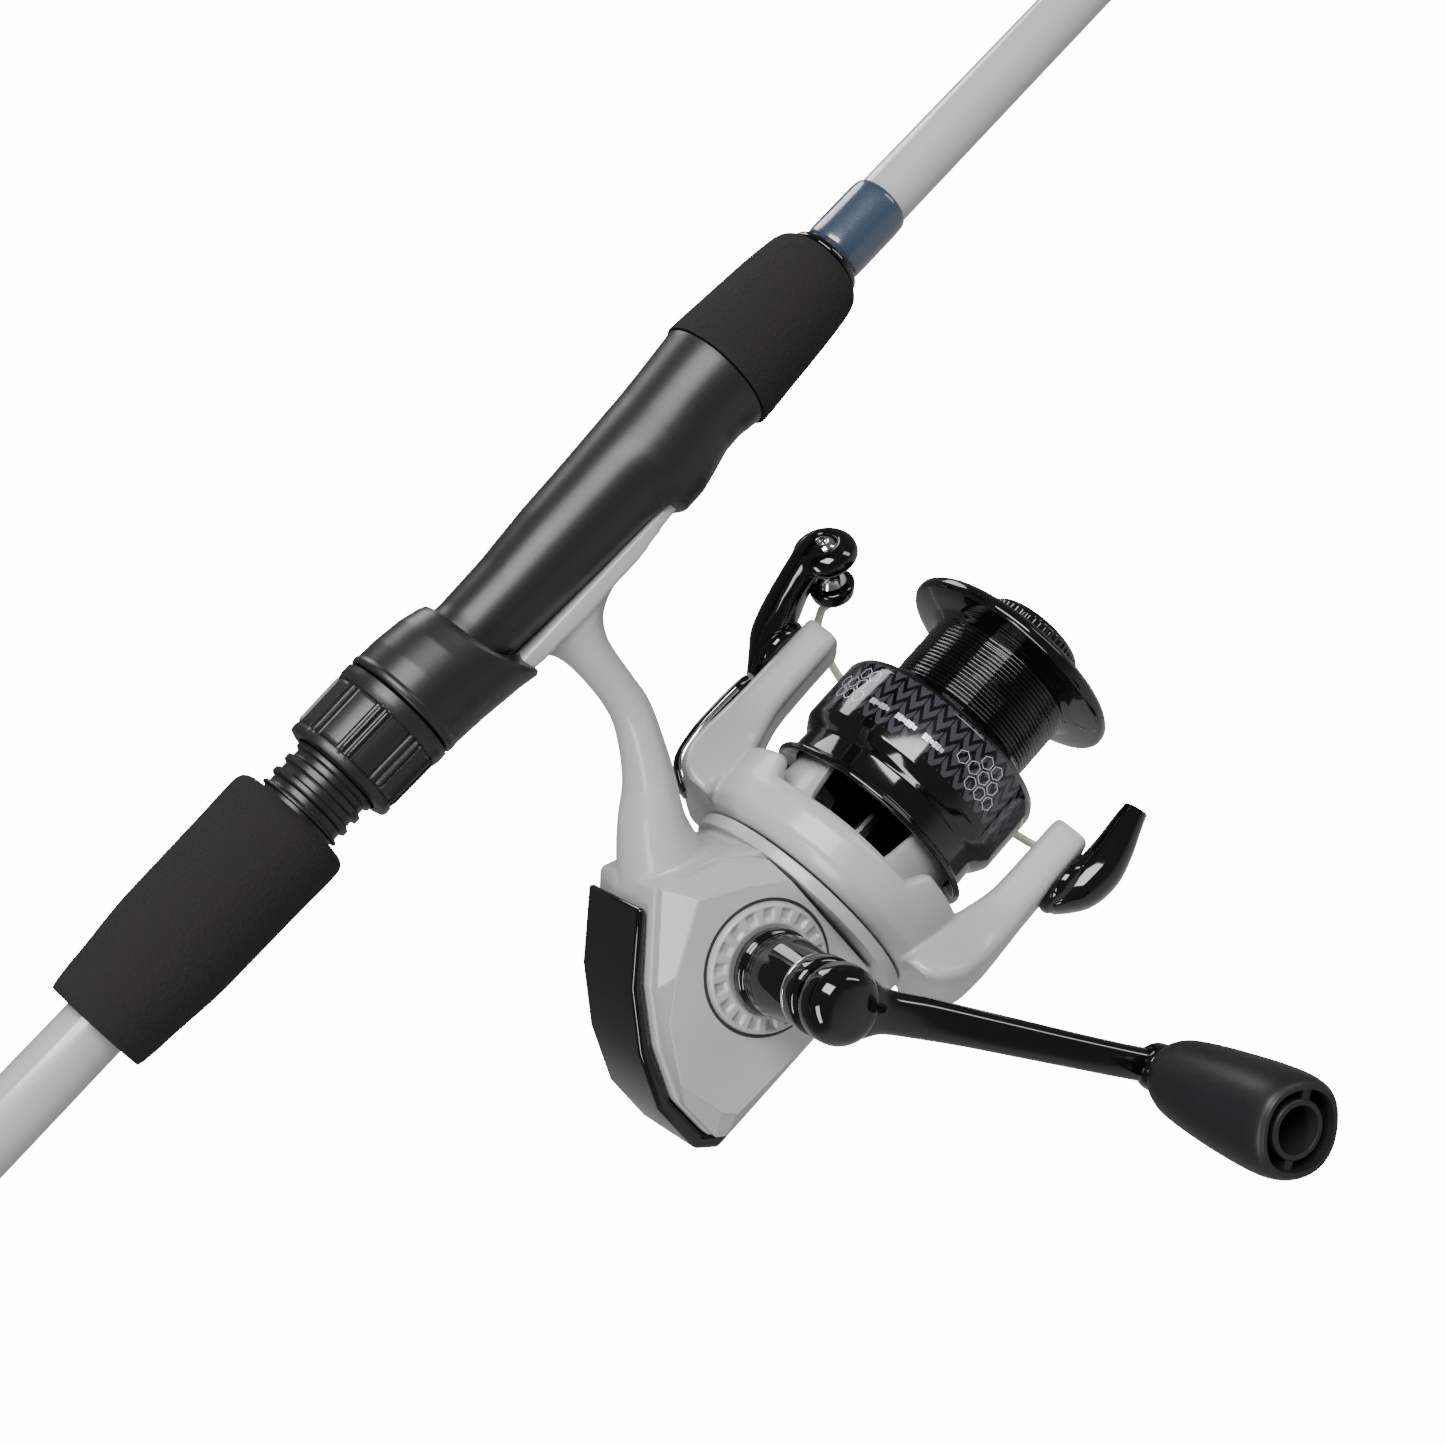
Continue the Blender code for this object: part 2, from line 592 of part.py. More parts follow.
def make_case():
    """Gear case, leg and foot cast in one, its side cover and the wrap-round tail guard."""
    sides = ((1.2, -BODY_LEFT), (0.0, 1.4 - BODY_LEFT), (0.0, BODY_RIGHT))
    rings = [[Vector((a, -depth, b)) for a, b in case_outline(inset)] for inset, depth in sides]
    body = loft("reel_body", rings, GREY_PAINT)
    front = CASE_FRONT + 0.01
    nose = CASE_FRONT + BOSS_LENGTH
    boss = reel_turned("clutch_boss", [(front - 2.2, 0.0), (front - 2.2, 22.3), (front - 1.9, 22.6), (front - 0.3, 22.6),
                                       (front, 22.3), (front, BOSS_R), (nose - 0.3, BOSS_R), (nose, BOSS_R - 0.3),
                                       (nose, 0.0)], None)
    x, y, z = FORWARD, Vector((0.0, 1.0, 0.0)), Vector((0.0, 0.0, 1.0))
    top = -SEAT_DECK - GAP
    leg_rows = ((top - 1.2, 6.0, 11.0, 5.4), (top - 3.9, 6.0, 12.0, 5.4), (top - 5.2, 4.6, 9.0, 5.2),
                (top - 7.5, 3.2, 6.0, 4.9), (top - 12.0, 2.4, 4.2, 4.6), (top - 20.0, 1.8, 3.9, 4.5),
                (top - 27.0, 0.6, 4.3, 4.7), (top - 36.0, -3.9, 5.3, 5.6), (top - 42.0, -8.6, 7.2, 6.8),
                (top - 49.0, -13.4, 8.3, 8.4), (top - 58.0, -17.0, 10.8, 10.5))
    rings = [ellipse(Vector((cx, 0.0, height)), x, y, half, wide) for height, cx, half, wide in leg_rows]
    leg = loft("leg", rings, None)
    join(body, boss, leg, foot_shape("foot", 0.0))
    cavity = prism("gear_cavity", case_outline(CASE_WALL), -CASE_LEFT_INNER, BODY_RIGHT + 1.0, None)
    seat_end = CASE_FRONT_INNER + GAP + BEARING_WIDTH + 0.2
    steps = ((CASE_FRONT_INNER - 3.0, seat_end, BEARING_R + GAP), (seat_end, clutch_rear() - GAP, PINION_SHAFT_R + 1.1),
             (clutch_rear() - GAP, 12.0, CLUTCH_R + GAP))
    pinion_way = reel_turned("pinion_way", stepped_cutter(steps), None, 22)
    outer_seat = BEARING_R - 1.0 + GAP
    steps = ((-BODY_LEFT - 2.0, -CASE_LEFT_INNER - 3.4, DRIVE_AXLE_R + 1.0), (-CASE_LEFT_INNER - 3.4, 0.0, outer_seat))
    left_way = crank_turned("left_way", stepped_cutter(steps), None)
    cut(body, cavity, pinion_way, left_way)
    make_cover()
    make_guard()
    for number, (sx, sz) in enumerate(screw_places(), 1):
        place = Vector((sx, 0.0, sz))
        hole = crank_turned(f"screw_hole_{number}", bore_cutter(-BODY_LEFT - 1.0, BODY_RIGHT + 1.0, 1.2),
                            None, TINY_ROUND, place)
        cut(body, hole)
        head = -BODY_LEFT - GAP
        profile = [(head - 1.3, 0.0), (head - 1.3, 1.9), (head, 2.3), (head, 0.9), (BODY_RIGHT - 1.0, 0.9),
                   (BODY_RIGHT - 1.0, 0.0)]
        crank_turned(f"case_screw_{number}", profile, CHROME, TINY_ROUND, place)


def clutch_rear():
    """Rear face of the one-way clutch, ahead of the pinion bearing and a thin wall."""
    return CASE_FRONT_INNER + BEARING_WIDTH + 1.5


def screw_places():
    """Two case screws, in the solid corners of the case wall."""
    outer = case_outline(0.0)
    inner = case_outline(CASE_WALL)
    middle = [((a + c) / 2, (b + d) / 2) for (a, b), (c, d) in zip(outer, inner)]
    return (middle[1], middle[5])


def make_cover():
    """Crank-side cover: a wide skirt that steps in to a flat plate with the hub ring."""
    crank = CRANK_AXIS
    start = BODY_RIGHT + GAP
    front = CASE_FRONT - 2.2 - 0.4
    base = [(min(a, front), b) for a, b in case_outline(0.6)]
    plate = [(crank.x - 1.0, crank.z + 21.0), (crank.x - 14.0, crank.z + 13.5), (crank.x - 21.0, crank.z + 8.0),
             (crank.x - 27.5, crank.z - 3.0), (crank.x - 25.5, crank.z - 14.0), (crank.x - 23.5, crank.z - 17.0),
             (crank.x - 1.0, crank.z - 18.6), (front - 0.4, crank.z - 18.0),
             (front - 0.4, crank.z + 9.0), (crank.x + 8.0, crank.z + 15.0)]
    rings = [[Vector((a, -depth, b)) for a, b in outline] for outline, depth in
             ((base, start), (base, start + 1.6), (plate, COVER_OUTER))]
    cover = loft("side_cover", rings, GREY_PAINT)
    hub = crank_turned("hub_ring", rod_or_pin(COVER_OUTER - 2.0, COVER_OUTER + HUB_HEIGHT, HUB_R, 0.5), None)
    join(cover, hub)
    seat_end = BODY_RIGHT + GAP + 3.4
    steps = ((0.0, seat_end, BEARING_R - 1.0 + GAP), (seat_end, COVER_OUTER + 4.0, DRIVE_AXLE_R + 1.0))
    cut(cover, crank_turned("right_way", stepped_cutter(steps), None))


def make_guard():
    """Gloss guard round the tail of the case, outside the case by one gap."""
    outline = case_outline(0.0)[0:8]
    outline[7] = tuple(Vector(outline[6]).lerp(Vector(outline[7]), 0.8))
    outline[0] = tuple(Vector(outline[0]).lerp(Vector(outline[1]), 0.22))
    inner = offset_row(outline, GAP)
    outer = offset_row(outline, GAP + 2.6)
    prism("rear_guard", outer + list(reversed(inner)), -GUARD_HALF_WIDTH, GUARD_HALF_WIDTH, BLACK_GLOSS)


def offset_row(points, distance):
    """Move an open row of points sideways by a distance, to the right of its direction of travel."""
    moved = []
    last = len(points) - 1
    for i, place in enumerate(points):
        here = Vector(place)
        arrive = (here - Vector(points[max(i - 1, 0)])) if i else (Vector(points[1]) - here)
        leave = (Vector(points[min(i + 1, last)]) - here) if i < last else arrive
        arrive.normalize()
        leave.normalize()
        side_a = Vector((arrive.y, -arrive.x))
        side_b = Vector((leave.y, -leave.x))
        mean = (side_a + side_b).normalized()
        moved.append(tuple(here + mean * (distance / max(mean.dot(side_a), 0.4))))
    return moved


def gear(name, teeth, tip, root, near, far, bore, finish, origin, direction):
    """A spur gear: a toothed outline with a round bore, turned to its axis."""
    outline = []
    for i in range(teeth):
        for share, radius in ((0.05, root), (0.32, root), (0.45, tip), (0.72, tip), (0.85, root)):
            angle = math.tau * (i + share) / teeth
            outline.append((radius * math.cos(angle), radius * math.sin(angle)))
    axis = Vector(direction)
    u = axis.orthogonal().normalized()
    v = axis.cross(u)
    wheel = prism(name, outline, near, far, finish, origin, (u, v, axis))
    if bore:
        cut(wheel, lathe(name + "_bore", bore_cutter(near - 1.0, far + 1.0, bore), None, origin, direction,
                         SMALL_ROUND))
    return wheel


def make_drive():
    """Everything on the crank axis inside the case, and the oscillation gear."""
    face = PINION_R + GAP
    wheel = gear("drive_gear", DRIVE_TEETH, DRIVE_R, DRIVE_R - 1.2, face, face + 3.2, 0.0, ZINC, CRANK_AXIS, RIGHT)
    axle = crank_turned("drive_axle", rod_or_pin(-CASE_LEFT_INNER - 3.0, BODY_RIGHT + 3.4, DRIVE_AXLE_R), None,
                        SMALL_ROUND)
    osc_near = -7.5
    osc_far = -4.5
    small = gear("osc_pinion", OSC_PINION_TEETH, OSC_PINION_R, OSC_PINION_R - 0.8, osc_near, osc_far, 0.0, None,
                 CRANK_AXIS, RIGHT)
    join(wheel, axle, small)
    cut(wheel, crank_turned("drive_bore", bore_cutter(-20.0, 20.0, SHAFT_R + 0.2 + GAP), None, TINY_ROUND))
    inner = DRIVE_AXLE_R + GAP
    outer = BEARING_R - 1.0
    crank_turned("drive_bearing_right", tube(BODY_RIGHT + GAP, BODY_RIGHT + 3.3, inner, outer), STEEL, SMALL_ROUND)
    crank_turned("drive_bearing_left", tube(-CASE_LEFT_INNER - 3.0, -CASE_LEFT_INNER, inner, outer), STEEL,
                 SMALL_ROUND)
    crank_turned("handle_shaft", rod_or_pin(-BODY_LEFT - 7.0, COLLAR_END - 1.0, SHAFT_R + 0.2), STEEL, TINY_ROUND)
    spacing = OSC_PINION_R + OSC_R + GAP
    lean = math.radians(207.5)
    centre = CRANK_AXIS + Vector((math.cos(lean), 0.0, math.sin(lean))) * spacing
    osc = gear("osc_gear", OSC_TEETH, OSC_R, OSC_R - 0.9, osc_near, osc_far, 0.0, BRASS, centre, RIGHT)
    pin = crank_turned("osc_pin", rod_or_pin(osc_far - 1.0, -SLIDER_HALF - 0.4, 1.4), None, TINY_ROUND,
                       centre + Vector((0.0, 0.0, -OSC_THROW)))
    stub = crank_turned("osc_stub", rod_or_pin(-CASE_LEFT_INNER + GAP, osc_near + 1.0, 1.8), None, TINY_ROUND, centre)
    join(osc, pin, stub)


def make_shafts():
    """Pinion, its bearing and clutch, the main shaft and the oscillation slider."""
    pinion = gear("pinion_gear", PINION_TEETH, PINION_R, PINION_R - 0.7, -13.5, -6.9, 0.0, BRASS, SPOOL_AXIS, FORWARD)
    web_front = rotor_web() + WEB_THICKNESS
    sleeve = reel_turned("pinion_sleeve", rod_or_pin(-8.0, web_front + 4.2, PINION_SHAFT_R), None, SMALL_ROUND)
    join(pinion, sleeve)
    cut(pinion, reel_turned("pinion_bore", bore_cutter(-20.0, 30.0, SHAFT_R + GAP), None, TINY_ROUND))
    inner = PINION_SHAFT_R + GAP
    bearing_rear = CASE_FRONT_INNER + GAP
    reel_turned("pinion_bearing", tube(bearing_rear, bearing_rear + BEARING_WIDTH, inner, BEARING_R), STEEL, SMALL_ROUND)
    clutch_front = CASE_FRONT + BOSS_LENGTH - 0.5
    reel_turned("roller_clutch", tube(clutch_rear(), clutch_front, inner, CLUTCH_R), STEEL, SMALL_ROUND)
    nut_rear = web_front + GAP
    hexagon = [(6.2 * math.cos(math.tau * i / 6), 6.2 * math.sin(math.tau * i / 6)) for i in range(6)]
    across = (Vector((0.0, 1.0, 0.0)), Vector((0.0, 0.0, 1.0)), FORWARD)
    nut = prism("rotor_nut", hexagon, nut_rear, nut_rear + 3.2, STEEL, SPOOL_AXIS, across)
    cut(nut, reel_turned("nut_bore", bore_cutter(nut_rear - 1.0, nut_rear + 5.0, inner), None, SMALL_ROUND))
    reel_turned("main_shaft", rod_or_pin(SLIDER_REAR - 0.5, DRAG_KNOB_FRONT - 3.0, SHAFT_R), STEEL, TINY_ROUND)
    base = SPOOL_AXIS.z
    block = [(SLIDER_REAR, base + 3.4), (SLIDER_REAR, base - 9.4), (SLIDER_FRONT, base - 9.4), (SLIDER_FRONT, base + 3.4)]
    slider = prism("osc_slider", block, -SLIDER_HALF, SLIDER_HALF, ZINC)
    rod_axis = SPOOL_AXIS - Vector((0.0, 0.0, GUIDE_ROD_DROP))
    rail = lathe("slider_rail_bore", bore_cutter(-60.0, 10.0, 1.5), None, rod_axis, FORWARD, TINY_ROUND)
    bore = reel_turned("slider_shaft_bore", bore_cutter(-60.0, 0.0, SHAFT_R + GAP), None, TINY_ROUND)
    cut(slider, rail, bore)
    lathe("guide_rod", rod_or_pin(-42.3, CASE_FRONT_INNER - GAP, 1.2), STEEL, rod_axis, FORWARD, TINY_ROUND)


def rotor_web():
    """Rear face of the rotor's web, just ahead of the clutch boss."""
    return CASE_FRONT + BOSS_LENGTH + 0.5


def rotor_arm(name, sign, finish):
    """One rotor arm: a side outline extruded across, on one side of the spool axis."""
    r0 = ROTOR_R - ROTOR_WALL
    outline = [(ROTOR_REAR + 0.6, r0 + 0.5), (ROTOR_REAR + 2.4, ARM_R_OUT - 4.5), (ROTOR_REAR + 7.0, ARM_R_OUT - 0.8),
               (ROTOR_REAR + 12.0, ARM_R_OUT), (ARM_TOP - 3.0, ARM_R_OUT), (ARM_TOP, ARM_R_OUT - 2.5),
               (ARM_TOP, ARM_R_IN + 1.5), (ARM_TOP - 2.0, ARM_R_IN), (ROTOR_RIM + 12.0, ARM_R_IN),
               (ROTOR_RIM + 3.0, ARM_R_IN - 1.3), (ROTOR_RIM - 2.0, r0 + 0.5)]
    axes = (FORWARD, RADIAL * sign, TANGENT)
    return prism(name, outline, -ARM_HALF_WIDTH, ARM_HALF_WIDTH, finish, SPOOL_AXIS, axes, bevel=1.4)


def make_rotor():
    web = rotor_web()
    r = ROTOR_R
    inner = r - ROTOR_WALL
    profile = [(ROTOR_REAR, inner - 1.5), (ROTOR_REAR, r - 3.2), (ROTOR_REAR + 1.2, r - 1.0), (ROTOR_REAR + 4.0, r),
               (ROTOR_RIM - 0.8, r), (ROTOR_RIM, r - 0.8), (ROTOR_RIM, inner + 0.4), (ROTOR_RIM - 0.6, inner),
               (web + WEB_THICKNESS, inner), (web + WEB_THICKNESS, PINION_SHAFT_R + GAP),
               (web, PINION_SHAFT_R + GAP), (web, inner - 2.5), (web - 1.0, inner - 1.5)]
    rotor = reel_turned("rotor", profile, GREY_PAINT, 32)
    arms = [rotor_arm("arm_a", 1.0, None), rotor_arm("arm_b", -1.0, None)]
    join(rotor, *arms)
    for number, sign in enumerate((1.0, -1.0), 1):
        window = [(web + WEB_THICKNESS + 0.8, -13.0), (web + WEB_THICKNESS + 0.8, 13.0), (ROTOR_RIM + 3.0, 18.0),
                  (ROTOR_RIM + 3.0, -18.0)]
        cut(rotor, prism(f"window_{number}", window, inner - 4.0, r + 4.0, None, SPOOL_AXIS,
                         (FORWARD, RADIAL, TANGENT * sign)))
        hole = lathe(f"pivot_hole_{number}", bore_cutter(ARM_R_IN - 3.0, ARM_R_OUT + 3.0, 2.0), None,
                     SPOOL_AXIS + FORWARD * BAIL_X, RADIAL * sign, TINY_ROUND)
        cut(rotor, hole)
    slot = [(18.0, -2.9), (18.0, 2.9), (31.0, 2.9), (31.0, -2.9)]
    cut(rotor, prism("spring_slot", slot, ARM_R_OUT - 6.2, ARM_R_OUT + 2.0, None, SPOOL_AXIS,
                     (FORWARD, TANGENT, RADIAL)))
    cover = [(ROTOR_REAR + 3.2, ARM_R_OUT - 3.4), (ROTOR_REAR + 7.3, ARM_R_OUT + GAP - 0.6),
             (ROTOR_REAR + 12.0, ARM_R_OUT + GAP), (BAIL_X - BAIL_ROOT_R - 0.8, ARM_R_OUT + GAP),
             (BAIL_X - BAIL_ROOT_R - 0.8, ARM_R_OUT + 1.4), (ROTOR_REAR + 12.0, ARM_R_OUT + 1.7),
             (ROTOR_REAR + 6.4, ARM_R_OUT + 0.7), (ROTOR_REAR + 1.8, ARM_R_OUT - 3.2)]
    prism("arm_cover", cover, -5.2, 5.2, BLACK_GLOSS, SPOOL_AXIS, (FORWARD, RADIAL, TANGENT))
    turns = 6
    coil = []
    for i in range(turns * 10 + 1):
        angle = math.tau * i / 10
        coil.append(SPOOL_AXIS + FORWARD * (19.2 + 10.6 * i / (turns * 10)) + RADIAL * (ARM_R_OUT - 3.2
                    + 1.9 * math.cos(angle)) + TANGENT * (1.9 * math.sin(angle)))
    sweep("bail_spring", coil, 0.35, STEEL, 1)


def disc_and_arm(name, sign, rows, finish):
    """A root disc on the bail pivot joined to a lofted arm. rows are centre, half height, half width."""
    base = ARM_R_OUT + GAP
    origin = SPOOL_AXIS + FORWARD * BAIL_X
    profile = [(base, 0.0), (base, BAIL_ROOT_R - 0.4), (base + 1.0, BAIL_ROOT_R), (base + BAIL_PLATE - 1.2, BAIL_ROOT_R),
               (base + BAIL_PLATE, BAIL_ROOT_R - 2.4), (base + BAIL_PLATE, 0.0)]
    disc = lathe(name, profile, finish, origin, RADIAL * sign, SMALL_ROUND)
    rings = []
    centres = [on_arm(x, radius * sign, across) for x, radius, across, _, _ in rows]
    for i, (_, _, _, high, wide) in enumerate(rows):
        along = (centres[min(i + 1, len(rows) - 1)] - centres[max(i - 1, 0)]).normalized()
        side = along.cross(RADIAL * sign).normalized()
        up = side.cross(along).normalized()
        rings.append(ellipse(centres[i], side, up, wide, high, 10))
    join(disc, loft(name + "_reach", rings, None))
    hole = lathe(name + "_hole", bore_cutter(base - 2.0, base + BAIL_PLATE + 3.0, 2.0), None, origin,
                 RADIAL * sign, TINY_ROUND)
    seat = lathe(name + "_seat", bore_cutter(base + BAIL_PLATE - 1.6, base + BAIL_PLATE + 4.0, 3.3), None,
                 origin, RADIAL * sign, SMALL_ROUND)
    cut(disc, hole, seat)
    return disc


ROLLER_SCREW = (57.8, 42.5, 13.8)
ROLLER_CAP = (54.4, 36.3, 1.8)


def make_bail():
    """Bail arm with the line roller, the wire and the holder on the other arm."""
    outer = on_arm(*ROLLER_SCREW)
    inner = on_arm(*ROLLER_CAP)
    axis = (outer - inner).normalized()
    middle = (outer + inner) / 2
    rows = ((BAIL_X - 2.0, 39.2, 0.0, 1.9, 4.6), (BAIL_X + 5.0, 41.4, 2.6, 2.8, 4.4), (48.5, 42.8, 7.0, 3.0, 4.0),
            (53.5, 43.0, 10.6, 2.9, 3.8), (56.9, 42.5, 12.8, 2.8, 3.7))
    arm = disc_and_arm("bail_arm", 1.0, rows, BLACK_GLOSS)
    half = ROLLER_WIDTH / 2
    dome = lathe("roller_dome", [(half + GAP, 0.0), (half + GAP, 3.9), (half + 1.6, 5.0), (half + 3.6, 4.9),
                                 (half + 4.7, 3.6), (half + 4.7, 0.0)], None, middle, axis, SMALL_ROUND)
    screw_bore = lathe("roller_screw_bore", bore_cutter(-9.0, 12.0, 1.4), None, middle, axis, TINY_ROUND)
    head_seat = lathe("roller_head_seat", bore_cutter(half + 3.4, 12.0, 2.7), None, middle, axis, SMALL_ROUND)
    room = lathe("roller_room", bore_cutter(-half - 5.2, half + GAP - 0.05, 4.3), None, middle, axis, SMALL_ROUND)
    join(arm, dome)
    cut(arm, room, screw_bore, head_seat)
    lathe("line_roller", [(-half, 1.4), (-half, ROLLER_R), (-half * 0.45, ROLLER_R - 0.7), (half * 0.45, ROLLER_R - 0.7),
                          (half, ROLLER_R), (half, 1.4)], CHROME, middle, axis, SMALL_ROUND)
    lathe("roller_screw", [(-half - 3.0, 0.0), (-half - 3.0, 1.1), (half + 3.7, 1.1), (half + 3.7, 2.4),
                           (half + 4.9, 1.9), (half + 4.9, 0.0)], CHROME, middle, axis, TINY_ROUND)
    holder_rows = ((BAIL_X - 1.3, 39.15, 0.05, 1.8, 4.5), (BAIL_X + 7.0, 40.6, 0.6, 3.1, 4.6), (50.0, 40.2, 1.4, 3.1, 4.2),
                   (55.0, 38.8, 2.0, 2.6, 3.2), (58.4, 37.9, 2.4, 2.0, 2.0))
    disc_and_arm("bail_holder", -1.0, holder_rows, BLACK_GLOSS)
    wire_rows = ((-3.9, 54.6, 36.8), (1.5, 53.8, 36.8), (9.0, 52.5, 38.4), (25.0, 51.0, 40.4), (48.0, 50.2, 41.0), (70.0, 50.0, 39.6),
                 (90.0, 49.9, 38.9), (110.0, 49.8, 39.6), (132.0, 49.8, 41.0), (155.0, 50.0, 40.4),
                 (167.0, 50.0, 38.9), (174.6, 50.3, 38.4))
    points = []
    for turn, x, radius in wire_rows:
        direction = arm_direction(ARM_ANGLE + turn)
        points.append(SPOOL_AXIS + FORWARD * x + direction * radius)
    cap = lathe("wire_cap", [(-half - 4.6, 0.0), (-half - 4.6, 2.6), (-half - 3.2, 3.9), (-half - GAP, 3.9),
                             (-half - GAP, 0.0)], None, middle, axis, SMALL_ROUND)
    wire = sweep_mesh("bail_wire", smooth_row(points, 3), BAIL_WIRE_R, WIRE_WHITE)
    join(wire, cap)
    cut(wire, lathe("wire_cap_bore", bore_cutter(-5.6, 3.0, 1.4), None, middle, axis, TINY_ROUND))
    for name, sign in (("pivot_screw_bail", 1.0), ("pivot_screw_holder", -1.0)):
        base = ARM_R_OUT + GAP + BAIL_PLATE - 1.3
        profile = [(ARM_R_IN + 1.0, 0.0), (ARM_R_IN + 1.0, 1.7), (base, 1.7), (base, 3.0), (base + 1.2, 2.6),
                   (base + 1.2, 0.0)]
        lathe(name, profile, CHROME, SPOOL_AXIS + FORWARD * BAIL_X, RADIAL * sign, TINY_ROUND)


def sweep_mesh(name, points, radius, finish, sides=6):
    """A round wire as a loft of rings square to its path."""
    rings = []
    side = None
    for i, here in enumerate(points):
        along = (points[min(i + 1, len(points) - 1)] - points[max(i - 1, 0)]).normalized()
        guide = FORWARD if side is None else side
        up = along.cross(guide).normalized()
        side = up.cross(along).normalized()
        rings.append(ellipse(here, side, up, radius, radius, sides))
    return loft(name, rings, finish)


def make_spool():
    """Skirted spool, drag stack and drag knob."""
    rear = SPOOL_REAR
    s = SKIRT_R
    front = SPOOL_LIP_X
    lip = SPOOL_LIP_R
    bore = SHAFT_R + GAP
    outer = [(rear, s - 0.9), (rear + 0.3, s - 0.1), (rear + 1.3, s - 0.1), (rear + 2.4, s - 2.2), (rear + 7.0, s - 2.4),
             (rear + 8.0, s - 1.4), (rear + 9.8, s), (SKIRT_FRONT - 2.4, s), (SKIRT_FRONT, s - 1.2),
             (SKIRT_FRONT + 1.4, s - 4.0), (SKIRT_FRONT + 2.6, ARBOR_R), (ARBOR_FRONT, ARBOR_R),
             (ARBOR_FRONT + 1.2, ARBOR_R + 4.4), (front - 3.4, lip - 0.4), (front - 2.6, lip), (front - 1.2, lip - 0.2),
             (front - 0.2, lip - 1.6), (front, lip - 4.0)]
    pocket = WASHER_R + 0.8
    web = front - 11.0
    inner = [(front, pocket), (web, pocket), (web, bore), (rear + 22.0, bore), (rear + 22.0, 5.5), (web - 3.4, 5.5),
             (web - 3.4, ARBOR_R - 2.0), (SKIRT_FRONT + 1.6, ARBOR_R - 2.0), (SKIRT_FRONT - 0.8, s - 2.2),
             (rear + 9.5, s - 2.0), (rear + 7.0, s - 3.8), (rear + 2.2, s - 3.8), (rear + 0.9, s - 2.1)]
    reel_turned("spool", outer + inner, BLACK_GLOSS, 32)
    for number, finish in enumerate((FELT, STEEL), 1):
        start = web + GAP + (number - 1) * (WASHER_THICKNESS + GAP)
        reel_turned(f"drag_washer_{number}", tube(start, start + WASHER_THICKNESS, SHAFT_R + GAP, WASHER_R), finish,
                    28)
    k = DRAG_KNOB_R
    face = DRAG_KNOB_FRONT
    seat = web + 2 * (WASHER_THICKNESS + GAP) + GAP
    knob = [(seat, bore), (seat, k - 3.0), (front - 1.0, k - 3.0), (front - 0.6, k), (face - 1.6, k), (face, k - 1.8),
            (face, 0.0), (face - 2.6, 0.0), (face - 2.6, bore)]
    reel_turned("drag_knob", knob, BLACK_GLOSS, 28)


